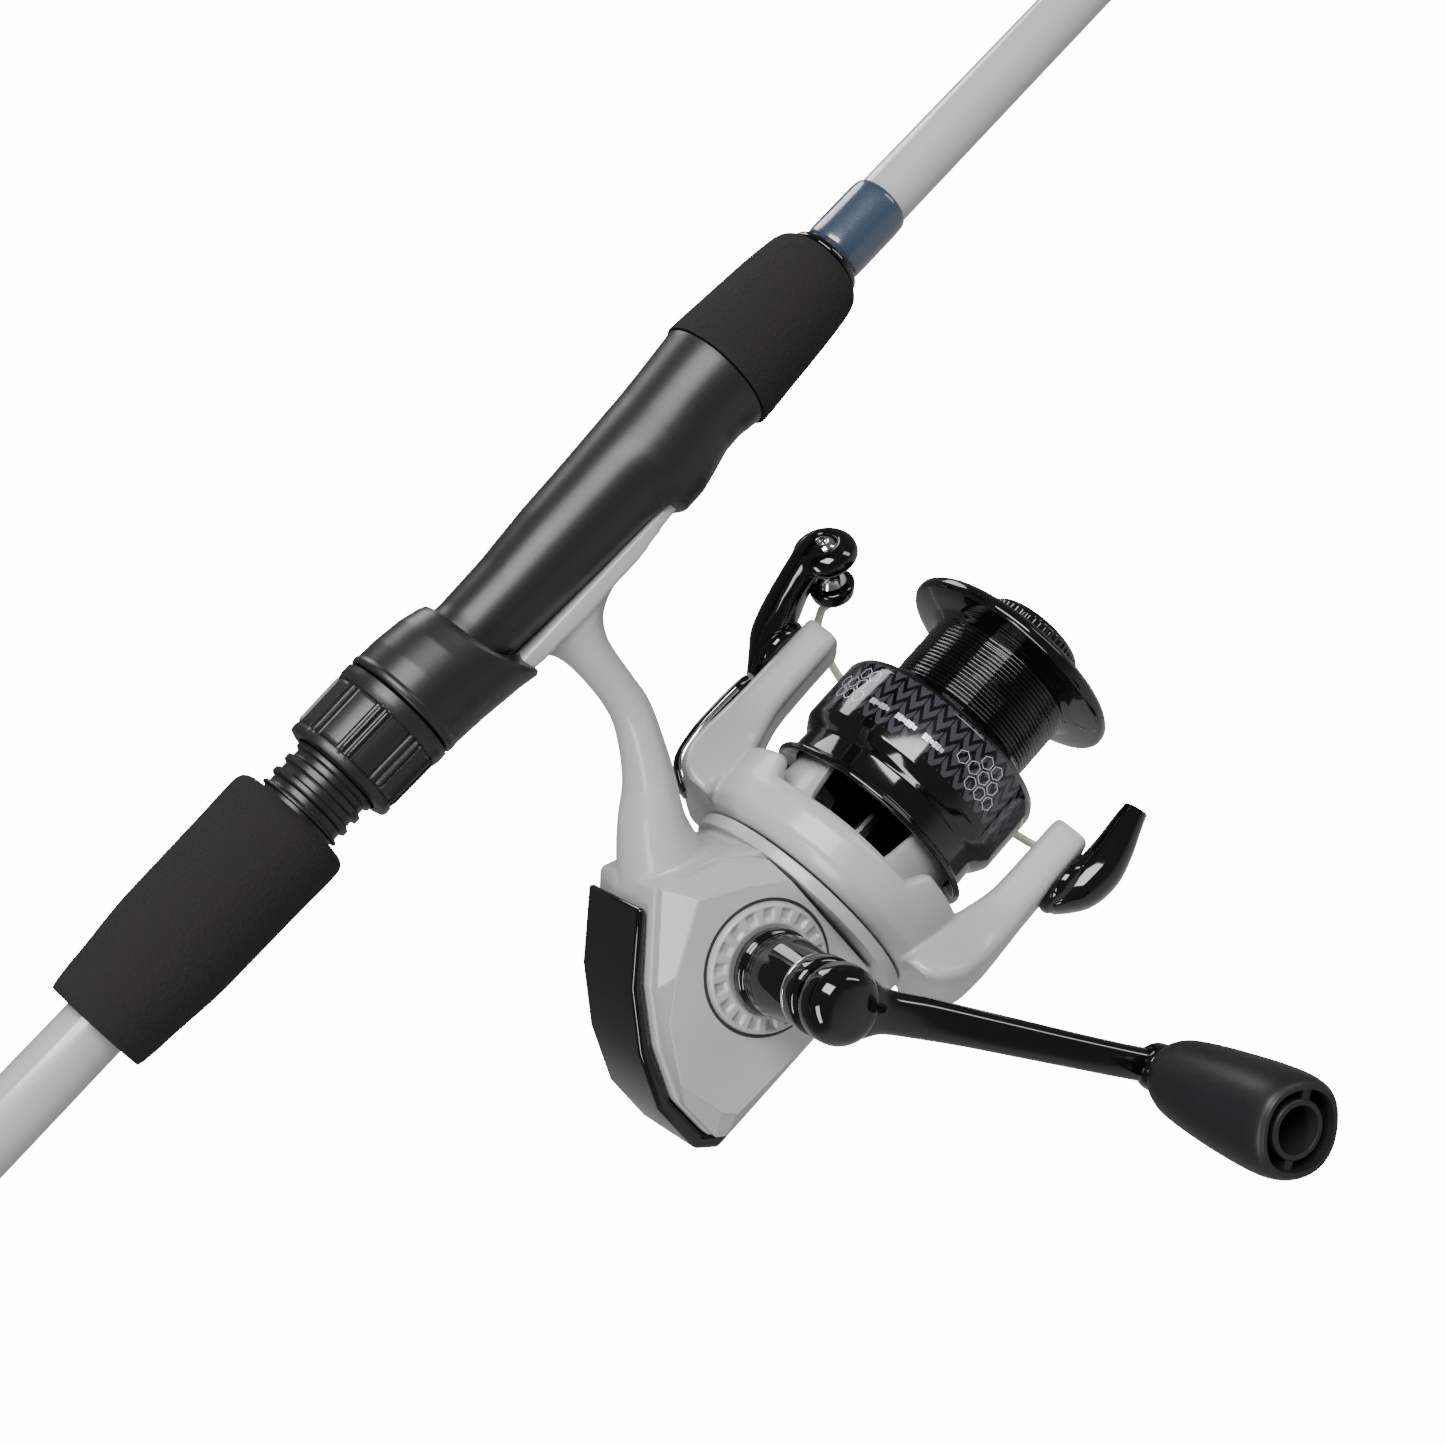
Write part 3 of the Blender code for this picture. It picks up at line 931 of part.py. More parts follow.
def make_handle():
    """Collar, cranked arm, knob on its pin, and the cap on the far end of the shaft."""
    start = COVER_OUTER + HUB_HEIGHT + 0.4
    end = COLLAR_END
    c = COLLAR_R
    bore = SHAFT_R + 0.2 + GAP
    collar = [(start, c - 1.2), (start + 0.6, c), (start + 2.2, c), (start + 2.8, c - 1.2), (start + 4.2, c - 1.4),
              (start + 4.8, c - 0.6), (end - 5.0, c - 1.6), (end - 4.0, c - 2.0), (end - 3.4, c - 0.9), (end - 0.6, c - 0.9),
              (end, c - 1.5), (end, 0.0), (end - 0.6, 0.0), (end - 0.6, bore), (start, bore)]
    crank_turned("handle_collar", collar, BLACK_GLOSS, 28)
    turn = math.radians(HANDLE_ANGLE)
    reach = Vector((math.cos(turn), 0.0, math.sin(turn)))
    side = reach.cross(RIGHT).normalized()
    root = end + GAP
    depth = root + 4.2
    rows = ((0.0, 0.0, 5.4, 3.4), (0.14, 0.0, 5.0, 3.3), (0.28, 0.06, 4.3, 3.2), (0.42, 0.24, 3.9, 3.1), (0.58, 0.5, 3.7, 3.0),
            (0.74, 0.74, 3.5, 2.8), (0.88, 0.9, 3.4, 2.7), (0.97, 0.96, 3.4, 2.7))
    rings = []
    for share, outward, wide, thick in rows:
        centre = CRANK_AXIS + reach * (HANDLE_LENGTH * share) + RIGHT * (depth + HANDLE_SWEEP * outward)
        rings.append(ellipse(centre, side, RIGHT, wide, thick, 16))
    arm = crank_turned("handle_arm", [(root, 0.0), (root, 6.6), (root + 1.4, 7.5), (root + 5.2, 7.5), (root + 7.8, 5.6),
                                      (root + 8.8, 0.0)], BLACK_GLOSS, 24)
    knob_axis = CRANK_AXIS + reach * HANDLE_LENGTH
    boss_far = depth + HANDLE_SWEEP + 3.6
    boss = crank_turned("knob_boss", [(boss_far - 7.0, 0.0), (boss_far - 7.0, 3.4), (boss_far - 4.5, 4.6), (boss_far - 1.2, 4.6),
                                      (boss_far, 3.6), (boss_far, 0.0)], None, SMALL_ROUND, knob_axis)
    pin_r = 1.9
    pin_start = boss_far - 6.0
    join(arm, loft("arm_reach", rings, None), boss)
    cut(arm, crank_turned("pin_seat", bore_cutter(pin_start - GAP, boss_far + 4.0, pin_r + GAP), None,
                          TINY_ROUND, knob_axis))
    near = boss_far + 0.5
    far = near + KNOB_LENGTH
    k = KNOB_R
    hole_floor = far - 11.0
    knob = [(near, pin_r + GAP), (near, k - 5.4), (near + 0.8, k - 3.7), (near + 3.5, k - 2.5), (near + 8.0, k - 1.5),
            (near + 15.0, k - 0.7), (near + 25.0, k), (far - 4.0, k + 0.1), (far - 1.2, k - 0.6), (far, k - 2.2),
            (far, KNOB_HOLE_R), (hole_floor, KNOB_HOLE_R), (hole_floor, pin_r + GAP)]
    crank_turned("handle_knob", knob, SOFT_BLACK, 28, knob_axis)
    head = hole_floor + GAP
    pin = [(pin_start, 0.0), (pin_start, pin_r), (head, pin_r), (head, 3.6), (head + 1.4, 3.0), (head + 1.4, 0.0)]
    crank_turned("knob_pin", pin, STEEL, SMALL_ROUND, knob_axis)
    out = -BODY_LEFT - GAP - 0.4
    cap = [(out, bore), (out, CAP_R), (out - 5.5, CAP_R), (out - 8.2, CAP_R - 2.2), (out - 8.2, 0.0), (out - 6.8, 0.0),
           (out - 6.8, bore)]
    crank_turned("handle_cap", cap, BLACK_GLOSS, 24)


def main():
    clear_scene()
    make_blank()
    make_grips()
    make_seat()
    make_hood()
    make_guides()
    make_case()
    make_drive()
    make_shafts()
    make_rotor()
    make_bail()
    make_spool()
    make_handle()


main()
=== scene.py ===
"""Looks for the spinning rod and reel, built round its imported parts.

Lengths in the surface formulas are millimetres in the object's own frame: x along the rod, z up, and the
crank on the -y side. They are turned into metres where a mesh is made.
"""

import json
import math

import bmesh
import bpy
import numpy as np
from bpy.props import FloatProperty, IntProperty, PointerProperty
from mathutils import Matrix


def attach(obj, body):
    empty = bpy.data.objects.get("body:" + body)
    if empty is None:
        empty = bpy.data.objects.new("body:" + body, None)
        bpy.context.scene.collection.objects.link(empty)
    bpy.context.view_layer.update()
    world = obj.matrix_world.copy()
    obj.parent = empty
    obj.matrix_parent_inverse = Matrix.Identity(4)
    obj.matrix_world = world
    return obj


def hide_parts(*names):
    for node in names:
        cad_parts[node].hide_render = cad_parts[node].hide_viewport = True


bl_info = {"name": "Spinning rod and reel looks", "version": (1, 0), "blender": (4, 5, 0),
           "location": "View3D > Sidebar > Rod and reel",
           "description": "Builds the visible surfaces and finishes of a spinning rod and reel",
           "category": "Object"}

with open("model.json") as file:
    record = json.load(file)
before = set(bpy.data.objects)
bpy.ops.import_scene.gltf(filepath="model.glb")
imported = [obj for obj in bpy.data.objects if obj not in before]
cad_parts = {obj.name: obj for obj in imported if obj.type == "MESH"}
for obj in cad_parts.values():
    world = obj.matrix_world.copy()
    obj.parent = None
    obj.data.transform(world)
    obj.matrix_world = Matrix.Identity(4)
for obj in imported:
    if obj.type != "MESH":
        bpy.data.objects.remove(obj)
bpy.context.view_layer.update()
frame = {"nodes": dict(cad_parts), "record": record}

X = np.array([1.0, 0.0, 0.0])
Y = np.array([0.0, 1.0, 0.0])
Z = np.array([0.0, 0.0, 1.0])
SPOOL = np.array([0.0, 0.0, -91.0])
CRANK = np.array([-17.0, 0.0, -83.5])
ARM = math.radians(130.0)
RADIAL = np.array([0.0, -math.cos(ARM), math.sin(ARM)])
TANGENT = np.array([0.0, -RADIAL[2], RADIAL[1]])
HANDLE = math.radians(-57.0)
REACH = np.array([math.cos(HANDLE), 0.0, math.sin(HANDLE)])
CRANK_LENGTH = 61.5
KNOB = CRANK + REACH * CRANK_LENGTH
BAIL_X = 38.5
SKIRT_R = 23.8
CELL_TURN = 0.128
MM = 0.001
WHITE = 15.0
CAMERA_AT = np.array([-0.1009, -0.4304, 0.1756])
CAMERA_RIGHT = np.array([0.6564, -0.4801, -0.582])
CAMERA_UP = np.array([0.7191, 0.1649, 0.675])
CAMERA_LENS = 64.14


# --- surfaces ----------------------------------------------------------------------------------------
def on_arm(x, radius, across):
    """A point along the spool axis, out along the bail arm and across it."""
    return SPOOL + X * x + RADIAL * radius + TANGENT * across


def blank_radius(x):
    """Outer radius of the tapering blank at stations along the rod."""
    return np.interp(x, [-300.0, 0.0, 615.0, 1530.0], [6.8, 5.9, 3.9, 0.9])


def curve(points, steps):
    """Catmull-Rom curve: each span is a cubic whose end slopes are half the chord between neighbours."""
    p = np.asarray(points, float)
    ext = np.vstack([2 * p[0] - p[1], p, 2 * p[-1] - p[-2]])
    t = np.linspace(0.0, 1.0, steps, endpoint=False)[:, None]
    spans = []
    for a, b, c, d in zip(ext, ext[1:], ext[2:], ext[3:]):
        spans.append(0.5 * (2 * b + (c - a) * t + (2 * a - 5 * b + 4 * c - d) * t ** 2
                            + (3 * b - a - 3 * c + d) * t ** 3))
    return np.vstack(spans + [p[-1:]])


def eased(profile, radius, steps=4):
    """A profile with each corner replaced by a quadratic arc that starts one easing radius from it."""
    p = np.asarray(profile, float)
    out = [p[:1]]
    t = np.linspace(0.0, 1.0, steps + 1)[:, None]
    for a, b, c in zip(p, p[1:], p[2:]):
        first = min(radius, np.linalg.norm(b - a) * 0.45)
        last = min(radius, np.linalg.norm(c - b) * 0.45)
        s = b + (a - b) * first / max(np.linalg.norm(a - b), 1e-9)
        e = b + (c - b) * last / max(np.linalg.norm(c - b), 1e-9)
        out.append((1 - t) ** 2 * s + 2 * t * (1 - t) * b + t ** 2 * e)
    out.append(p[-1:])
    return np.vstack(out)


def turned(profile, origin, axis, sides):
    """Surface of revolution: each (along, radius) point goes once round the axis through origin."""
    p = np.asarray(profile, float)
    axis = np.asarray(axis, float) / np.linalg.norm(axis)
    helper = Z if abs(axis[2]) < 0.9 else X
    u = np.cross(helper, axis)
    u /= np.linalg.norm(u)
    v = np.cross(axis, u)
    angle = np.linspace(0.0, math.tau, sides, endpoint=False)
    ring = np.cos(angle)[:, None] * u + np.sin(angle)[:, None] * v
    return origin + p[:, 0, None, None] * axis + p[:, 1, None, None] * ring


def lofted(centres, up, wide, high, power=2.0, sides=32):
    """Superellipse sections square to a path: wide across it and high along its up direction."""
    c = np.asarray(centres, float)
    along = np.gradient(c, axis=0)
    along /= np.linalg.norm(along, axis=1)[:, None]
    side = np.cross(along, up)
    side /= np.linalg.norm(side, axis=1)[:, None]
    over = np.cross(side, along)
    angle = np.linspace(0.0, math.tau, sides, endpoint=False)
    ca = np.sign(np.cos(angle)) * np.abs(np.cos(angle)) ** (2.0 / power)
    sa = np.sign(np.sin(angle)) * np.abs(np.sin(angle)) ** (2.0 / power)
    wide = np.broadcast_to(wide, len(c))[:, None, None]
    high = np.broadcast_to(high, len(c))[:, None, None]
    across = side[:, None] * (wide * ca[None, :, None])
    along = over[:, None] * (high * sa[None, :, None])
    return c[:, None] + across + along


def sleeve(x, outer, inner):
    """A sleeve on the rod axis: outer and inner are radii over stations and angles, 0 at the top."""
    angle = np.linspace(0.0, math.tau, outer.shape[1], endpoint=False)
    ring = np.stack([np.zeros_like(angle), np.sin(angle), np.cos(angle)], axis=1)
    xs = np.broadcast_to(np.asarray(x, float).reshape(len(outer), -1), outer.shape)
    skin = xs[..., None] * X + outer[..., None] * ring
    ends = np.concatenate([skin[-1:], skin[:1]])
    bore = ends * X + np.asarray(inner, float).reshape(-1, 1, 1) * ring
    return np.concatenate([skin, bore])


def extruded(outline, near, far, u=X, v=Z, w=-Y, origin=0.0):
    """An outline in the u, v plane drawn at two depths along w."""
    flat = np.asarray(outline, float)
    face = flat[:, 0, None] * u + flat[:, 1, None] * v
    return np.stack([origin + face + w * near, origin + face + w * far])


def make_mesh(name, grids):
    """One mesh from closed grids.

    Each grid is (points, wraps): rows of rings side by side, and the last row joins the first if it wraps.
    """
    verts, faces, start = [], [], 0
    for points, wraps in grids:
        rows, count = points.shape[:2]
        index = np.arange(rows * count).reshape(rows, count) + start
        nxt = np.roll(index, -1, axis=1)
        low = index if wraps else index[:-1]
        high = np.roll(index, -1, axis=0) if wraps else index[1:]
        nlow = nxt if wraps else nxt[:-1]
        nhigh = np.roll(nxt, -1, axis=0) if wraps else nxt[1:]
        quads = np.stack([low, nlow, nhigh, high], axis=-1).reshape(-1, 4)
        part = bmesh.new()
        mesh = bpy.data.meshes.new("part")
        rings = [] if wraps else [index[0][::-1].tolist(), index[-1].tolist()]
        shifted = [[i - start for i in ring] for ring in rings]
        mesh.from_pydata((points.reshape(-1, 3) * MM).tolist(), [], (quads - start).tolist() + shifted)
        part.from_mesh(mesh)
        bmesh.ops.remove_doubles(part, verts=part.verts, dist=2e-7)
        if part.calc_volume(signed=True) < 0.0:
            bmesh.ops.reverse_faces(part, faces=part.faces)
        part.verts.index_update()
        verts += [v.co.copy() for v in part.verts]
        faces += [[v.index + start for v in f.verts] for f in part.faces]
        start = len(verts)
        part.free()
        bpy.data.meshes.remove(mesh)
    made = bpy.data.meshes.new(name)
    made.from_pydata(verts, [], faces)
    made.update()
    return made


def piece(name, grids, finish, body, replaces=(), sharp=38.0):
    """A finished object at the origin that rides on a body and may stand for parts of the model."""
    if isinstance(grids, np.ndarray):
        grids = [(grids, False)]
    mesh = make_mesh(name, grids)
    mesh.shade_smooth()
    mesh.set_sharp_from_angle(angle=math.radians(sharp))
    mesh.materials.append(finish)
    thing = bpy.data.objects.new(name, mesh)
    bpy.context.scene.collection.objects.link(thing)
    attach(thing, body)
    if replaces:
        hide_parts(*replaces)
    return thing


def soften(thing, width, segments=3, angle=28.0):
    """Rounds a piece's edges."""
    bevel = thing.modifiers.new("rounded", "BEVEL")
    bevel.width = width * MM
    bevel.segments = segments
    bevel.limit_method = "ANGLE"
    bevel.angle_limit = math.radians(angle)
    bevel.harden_normals = False
    return thing


def cast(thing, grain, passes):
    """Melts overlapping solids into one casting with filleted joins."""
    melt = thing.modifiers.new("one_casting", "REMESH")
    melt.mode = "VOXEL"
    melt.voxel_size = grain * MM
    melt.use_smooth_shade = True
    ease = thing.modifiers.new("fillets", "SMOOTH")
    ease.factor = 0.5
    ease.iterations = passes
    return thing


# --- finishes ----------------------------------------------------------------------------------------
def link(tree, a, b):
    tree.links.new(a, b)


def node(tree, kind, **settings):
    made = tree.nodes.new(kind)
    for key, value in settings.items():
        setattr(made, key, value)
    return made


def maths(tree, operation, a, b=None, clamp=False):
    """A maths node whose inputs are numbers or sockets."""
    made = node(tree, "ShaderNodeMath", operation=operation, use_clamp=clamp)
    for socket, value in zip(made.inputs, (a, b)):
        if value is None:
            continue
        if isinstance(value, (int, float)):
            socket.default_value = value
        else:
            link(tree, value, socket)
    return made.outputs[0]


def grain_group():
    """Node group: fine surface grain as a mask and a bumped normal."""
    found = bpy.data.node_groups.get("surface_grain")
    if found:
        return found
    group = bpy.data.node_groups.new("surface_grain", "ShaderNodeTree")
    face = group.interface
    for name, kind, value in (("Scale", "NodeSocketFloat", 1500.0), ("Height", "NodeSocketFloat", 0.00005),
                              ("Strength", "NodeSocketFloat", 0.4)):
        face.new_socket(name, in_out="INPUT", socket_type=kind).default_value = value
    face.new_socket("Mask", in_out="OUTPUT", socket_type="NodeSocketFloat")
    face.new_socket("Normal", in_out="OUTPUT", socket_type="NodeSocketVector")
    enter = node(group, "NodeGroupInput")
    leave = node(group, "NodeGroupOutput")
    place = node(group, "ShaderNodeTexCoord")
    noise = node(group, "ShaderNodeTexNoise")
    noise.inputs["Detail"].default_value = 4.0
    noise.inputs["Roughness"].default_value = 0.62
    link(group, place.outputs["Object"], noise.inputs["Vector"])
    link(group, enter.outputs["Scale"], noise.inputs["Scale"])
    bump = node(group, "ShaderNodeBump")
    link(group, enter.outputs["Strength"], bump.inputs["Strength"])
    link(group, enter.outputs["Height"], bump.inputs["Distance"])
    link(group, noise.outputs["Fac"], bump.inputs["Height"])
    link(group, noise.outputs["Fac"], leave.inputs["Mask"])
    link(group, bump.outputs["Normal"], leave.inputs["Normal"])
    return group


def finish(name, colour, roughness, metallic=0.0, coat=0.0, grain=None, vary=0.0, sheen=0.5):
    """A Principled material. grain is scale per metre, height in metres and strength; vary mottles
    the roughness; sheen is the specular level."""
    found = bpy.data.materials.get("look_" + name)
    if found:
        return found
    made = bpy.data.materials.new("look_" + name)
    made.use_nodes = True
    tree = made.node_tree
    shader = tree.nodes["Principled BSDF"]
    shader.inputs["Base Color"].default_value = (*colour, 1.0)
    shader.inputs["Roughness"].default_value = roughness
    shader.inputs["Metallic"].default_value = metallic
    shader.inputs["Coat Weight"].default_value = coat
    shader.inputs["Coat Roughness"].default_value = 0.06
    shader.inputs["Specular IOR Level"].default_value = sheen
    if grain:
        group = node(tree, "ShaderNodeGroup", node_tree=grain_group())
        group.inputs["Scale"].default_value, group.inputs["Height"].default_value = grain[:2]
        group.inputs["Strength"].default_value = grain[2]
        link(tree, group.outputs["Normal"], shader.inputs["Normal"])
        if vary:
            spread = node(tree, "ShaderNodeMapRange")
            spread.inputs["To Min"].default_value = roughness - vary
            spread.inputs["To Max"].default_value = roughness + vary
            link(tree, group.outputs["Mask"], spread.inputs["Value"])
            link(tree, spread.outputs["Result"], shader.inputs["Roughness"])
    made.diffuse_color = (*colour, 1.0)
    return made


def looks():
    """All the finishes by name."""
    return {
        "paint": finish("paint", (0.355, 0.38, 0.372), 0.34, 0.0, 0.25, (2600.0, 0.000004, 0.25), 0.04),
        "blank": finish("blank", (0.355, 0.38, 0.372), 0.24, 0.0, 0.6),
        "foam": finish("foam", (0.0105, 0.0096, 0.0094), 0.9, 0.0, 0.0, (1300.0, 0.0004, 0.8), 0.0, 0.3),
        "nylon": finish("nylon", (0.0115, 0.0105, 0.0105), 0.36, 0.0, 0.0, (2600.0, 0.00003, 0.35), 0.05,
                        0.45), "gloss": finish("gloss", (0.0025, 0.0025, 0.0028), 0.06, 0.0, 0.35),
        "soft": finish("soft", (0.0085, 0.0088, 0.0095), 0.45, 0.0, 0.0, (3200.0, 0.00001, 0.25), 0.05,
                       0.4), "chrome": finish("chrome", (0.78, 0.78, 0.8), 0.1, 1.0),
        "steel": finish("steel", (0.55, 0.55, 0.57), 0.24, 1.0),
        "brass": finish("brass", (0.7, 0.48, 0.2), 0.28, 1.0),
        "zinc": finish("zinc", (0.5, 0.51, 0.53), 0.4, 1.0, 0.0, (1400.0, 0.00003, 0.3)),
        "ceramic": finish("ceramic", (0.03, 0.032, 0.036), 0.06, 0.0, 0.6),
        "felt": finish("felt", (0.28, 0.22, 0.15), 0.95, 0.0, 0.0, (2000.0, 0.0001, 0.6)),
        "wire": finish("wire", (0.78, 0.75, 0.62), 0.22, 0.2, 0.4),
        "print": finish("print", (0.55, 0.56, 0.58), 0.3, 0.6),
        # shade: near-black colour laid on as painted shade in joints
        "shade": finish("shade", (0.02, 0.021, 0.022), 0.5),
        "blue": wrap_finish(),
        "skirt": skirt_finish(),
    }


def wrap_finish():
    """Thread winding under clear epoxy: fine turns side by side, with a deep clear coat over them."""
    made = finish("blue", (0.05, 0.085, 0.15), 0.3, 0.0, 1.0)
    tree = made.node_tree
    if len(tree.nodes) > 2:
        return made
    shader = tree.nodes["Principled BSDF"]
    place = node(tree, "ShaderNodeTexCoord")
    turns = node(tree, "ShaderNodeTexWave", wave_type="BANDS", bands_direction="X")
    turns.inputs["Scale"].default_value = 640.0
    turns.inputs["Distortion"].default_value = 0.3
    link(tree, place.outputs["Object"], turns.inputs["Vector"])
    ramp = node(tree, "ShaderNodeMix", data_type="RGBA")
    ramp.inputs["A"].default_value = (0.018, 0.031, 0.054, 1.0)
    ramp.inputs["B"].default_value = (0.034, 0.056, 0.09, 1.0)
    link(tree, turns.outputs["Fac"], ramp.inputs["Factor"])
    link(tree, ramp.outputs["Result"], shader.inputs["Base Color"])
    bump = node(tree, "ShaderNodeBump")
    bump.inputs["Strength"].default_value = 0.3
    bump.inputs["Distance"].default_value = 0.00003
    link(tree, turns.outputs["Fac"], bump.inputs["Height"])
    link(tree, bump.outputs["Normal"], shader.inputs["Normal"])
    return made


def skirt_finish():
    """Gloss black with a band of dark grey zigzag blocks printed round the spool skirt."""
    made = finish("skirt", (0.0025, 0.0025, 0.0028), 0.08, 0.0, 0.35)
    tree = made.node_tree
    if len(tree.nodes) > 2:
        return made
    shader = tree.nodes["Principled BSDF"]
    place = node(tree, "ShaderNodeTexCoord")
    split = node(tree, "ShaderNodeSeparateXYZ")
    link(tree, place.outputs["Object"], split.inputs[0])
    height = maths(tree, "ADD", split.outputs["Z"], 0.091)
    turn = maths(tree, "ARCTAN2", split.outputs["Y"], height)
    across = maths(tree, "MULTIPLY", turn, 44.0 / math.tau)
    along = maths(tree, "MULTIPLY", split.outputs["X"], 1000.0 / 3.4)
    zigzag = maths(tree, "PINGPONG", across, 0.5)
    sloped = maths(tree, "FRACT", maths(tree, "ADD", maths(tree, "MULTIPLY", along, 1.0),
                                        maths(tree, "MULTIPLY", zigzag, 1.6)))
    row = maths(tree, "GREATER_THAN", sloped, 0.42)
    cell = maths(tree, "GREATER_THAN", maths(tree, "FRACT", maths(tree, "MULTIPLY", across, 1.0)), 0.07)
    band = maths(tree, "MULTIPLY", maths(tree, "GREATER_THAN", split.outputs["X"], 0.0335),
                 maths(tree, "LESS_THAN", split.outputs["X"], 0.0453))
    reach = maths(tree, "GREATER_THAN", maths(tree, "ADD", maths(tree, "POWER", split.outputs["Y"], 2.0),
                                              maths(tree, "POWER", height, 2.0)), 0.0232 ** 2)
    mask = maths(tree, "MULTIPLY", maths(tree, "MULTIPLY", row, cell), maths(tree, "MULTIPLY", band, reach))
    blend = node(tree, "ShaderNodeMix", data_type="RGBA")
    blend.inputs["A"].default_value = (0.0025, 0.0025, 0.0028, 1.0)
    blend.inputs["B"].default_value = (0.035, 0.038, 0.046, 1.0)
    link(tree, mask, blend.inputs["Factor"])
    link(tree, blend.outputs["Result"], shader.inputs["Base Color"])
    return made


# --- rod ---------------------------------------------------------------------------------------------
def build_rod(settings, look):
    """Blank sections, foam grips, winding check and thread wrap."""
    x = np.array([-300.0, -200.0, -100.0, 0.0, 100.0, 200.0, 400.0, 605.0, 614.0, 615.0])
    outer = np.stack([x, blank_radius(x)], axis=1)
    bore = np.array([[615.0, 3.1], [685.0, 3.1], [685.0, 2.0], [605.0, 2.0], [-300.0, 5.7]])
    skin = turned(np.vstack([outer, bore]), 0.0, X, 96)
    piece("blank_butt", [(skin, True)], look["blank"], "rod", ["butt_section"])
    profile = [(615.3, 3.4), (615.3, 4.4), (616.0, 4.5), (640.0, 4.45), (646.0, 4.2),
               (700.0, blank_radius(700.0)), (1000.0, blank_radius(1000.0)), (1530.0, 0.9), (1530.0, 0.0),
               (686.3, 0.0), (686.3, 3.4)]
    piece("blank_tip", [(turned(profile, 0.0, X, 72), True)], look["blank"], "tip", ["tip_section"])
    rear = [(-108.5, 6.5), (-108.5, 9.4), (-108.0, 10.2), (-104.0, 10.75), (-100.0, 11.05), (-90.0, 11.95),
            (-80.0, 12.15), (-70.0, 12.3), (-62.0, 12.5), (-59.6, 12.2), (-58.6, 11.2), (-58.5, 10.0),
            (-58.5, 6.4)]
    butt = [(-300.0, 7.1), (-300.0, 11.6), (-299.0, 12.4), (-275.0, 12.9), (-250.0, 12.2), (-225.0, 10.4),
            (-212.0, 9.3), (-210.2, 8.4), (-210.0, 6.9)]
    fore = [(56.4, 6.0), (56.4, 11.9), (57.0, 12.4), (64.7, 11.9), (75.5, 11.15), (82.5, 10.4), (85.2, 9.7),
            (86.6, 8.5), (86.9, 7.4), (86.9, 6.0)]
    for name, rows, stands in (("grip_rear", rear, "rear_grip"), ("grip_butt", butt, "butt_grip"),
                               ("grip_fore", fore, "foregrip")):
        made = piece(name, [(turned(curve_profile(rows), 0.0, X, 96), True)], look["foam"], "rod", [stands])
    cap = eased([(-314.3, 0.0), (-314.3, 13.0), (-311.0, 13.1), (-306.0, 12.7), (-300.3, 13.0),
                 (-300.3, 0.0)], 1.4)
    piece("cap_butt", turned(cap, 0.0, X, 72), look["soft"], "rod", ["butt_cap"])
    r = settings.check_radius * 1000.0
    ring = eased([(87.2, 6.05), (87.2, r + 1.1), (88.4, r + 0.9), (89.1, r), (89.1, 6.05)], 0.5)
    piece("check_ring", [(turned(ring, 0.0, X, 96), True)], look["gloss"], "rod", ["winding_check"])
    x = np.linspace(89.4, 104.9, 40)
    swell = 0.62 * np.sqrt(np.clip(1.0 - np.abs((x - 97.15) / 7.75) ** 8, 0.0, 1.0)) + 0.05
    skin = np.stack([x, blank_radius(x) + 0.1 + swell], axis=1)
    bore = np.array([[104.9, blank_radius(104.9) + 0.05], [89.4, blank_radius(89.4) + 0.05]])
    piece("wrap_thread", [(turned(np.vstack([skin, bore]), 0.0, X, 96), True)], look["blue"], "rod",
          ["trim_wrap"])
    build_guides(look)


def curve_profile(rows):
    """A foam profile: straight bore ends with a smooth curve between them."""
    inner = curve(np.asarray(rows)[1:-1], 5)
    return np.vstack([rows[0], inner, rows[-1]])


def build_guides(look):
    """Polished rings, wire frames and whipped feet along the underside of the blank."""
    stations = ((430.0, 11.0, 33.0), (760.0, 7.0, 24.0), (1040.0, 4.6, 17.0), (1290.0, 3.4, 12.5))
    for number, (x, hole, drop) in enumerate(stations, 1):
        body = "rod" if number == 1 else "tip"
        centre = np.array([x, 0.0, -drop])
        ring_piece(f"ring_{number}", centre, hole, body, f"guide_ring_{number}", look)
        under = blank_radius(x) + 0.35
        inner = hole + 1.7
        hoop = round_hoop(centre, inner + 0.55, 0.62)
        legs = []
        for side in (-1.0, 1.0):
            low = centre + np.array([0.0, side * (inner + 0.5) * 0.55, (inner + 0.5) * 0.83])
            path = curve([low, low + np.array([-2.5, -side * inner * 0.12,
                                               (drop - under - inner * 0.83) * 0.5]),
                          np.array([x - 6.0, side * 0.55, -under]),
                          np.array([x - 15.0, side * 0.4, -under])], 8)
            legs.append((lofted(path, Y + 0.01 * Z, 0.6, 0.6, 2.0, 12), False))
        piece(f"frame_{number}", [(hoop, True)] + legs, look["steel"], body, [f"guide_frame_{number}"])
        skin = blank_radius(x - 12.0)
        spots = np.linspace(x - 19.0, x - 5.5, 24)
        swell = 0.75 * np.sqrt(np.clip(1.0 - np.abs((spots - x + 12.25) / 6.76) ** 6, 0.0, 1.0)) + 0.06
        rows = np.stack([spots, blank_radius(spots) + swell], axis=1)
        bore = np.array([[x - 5.5, skin * 0.98], [x - 19.0, skin * 0.98]])
        piece(f"whipping_{number}", [(turned(np.vstack([rows, bore]), 0.0, X, 48), True)], look["blue"],
              body, ())
    centre = np.array([1532.6, 0.0, -6.37])
    ring_piece("ring_tip", centre, 2.6, "tip", "tip_top_ring", look)
    tube = eased([(1518.0, 0.95), (1518.0, 1.9), (1533.5, 1.9), (1533.5, 0.0), (1530.6, 0.0),
                  (1530.6, 0.95)], 0.3)
    piece("frame_tip", [(round_hoop(centre, 4.85, 0.6), True), (turned(tube, 0.0, X, 32), True)],
          look["steel"], "tip", ["tip_top_frame"])


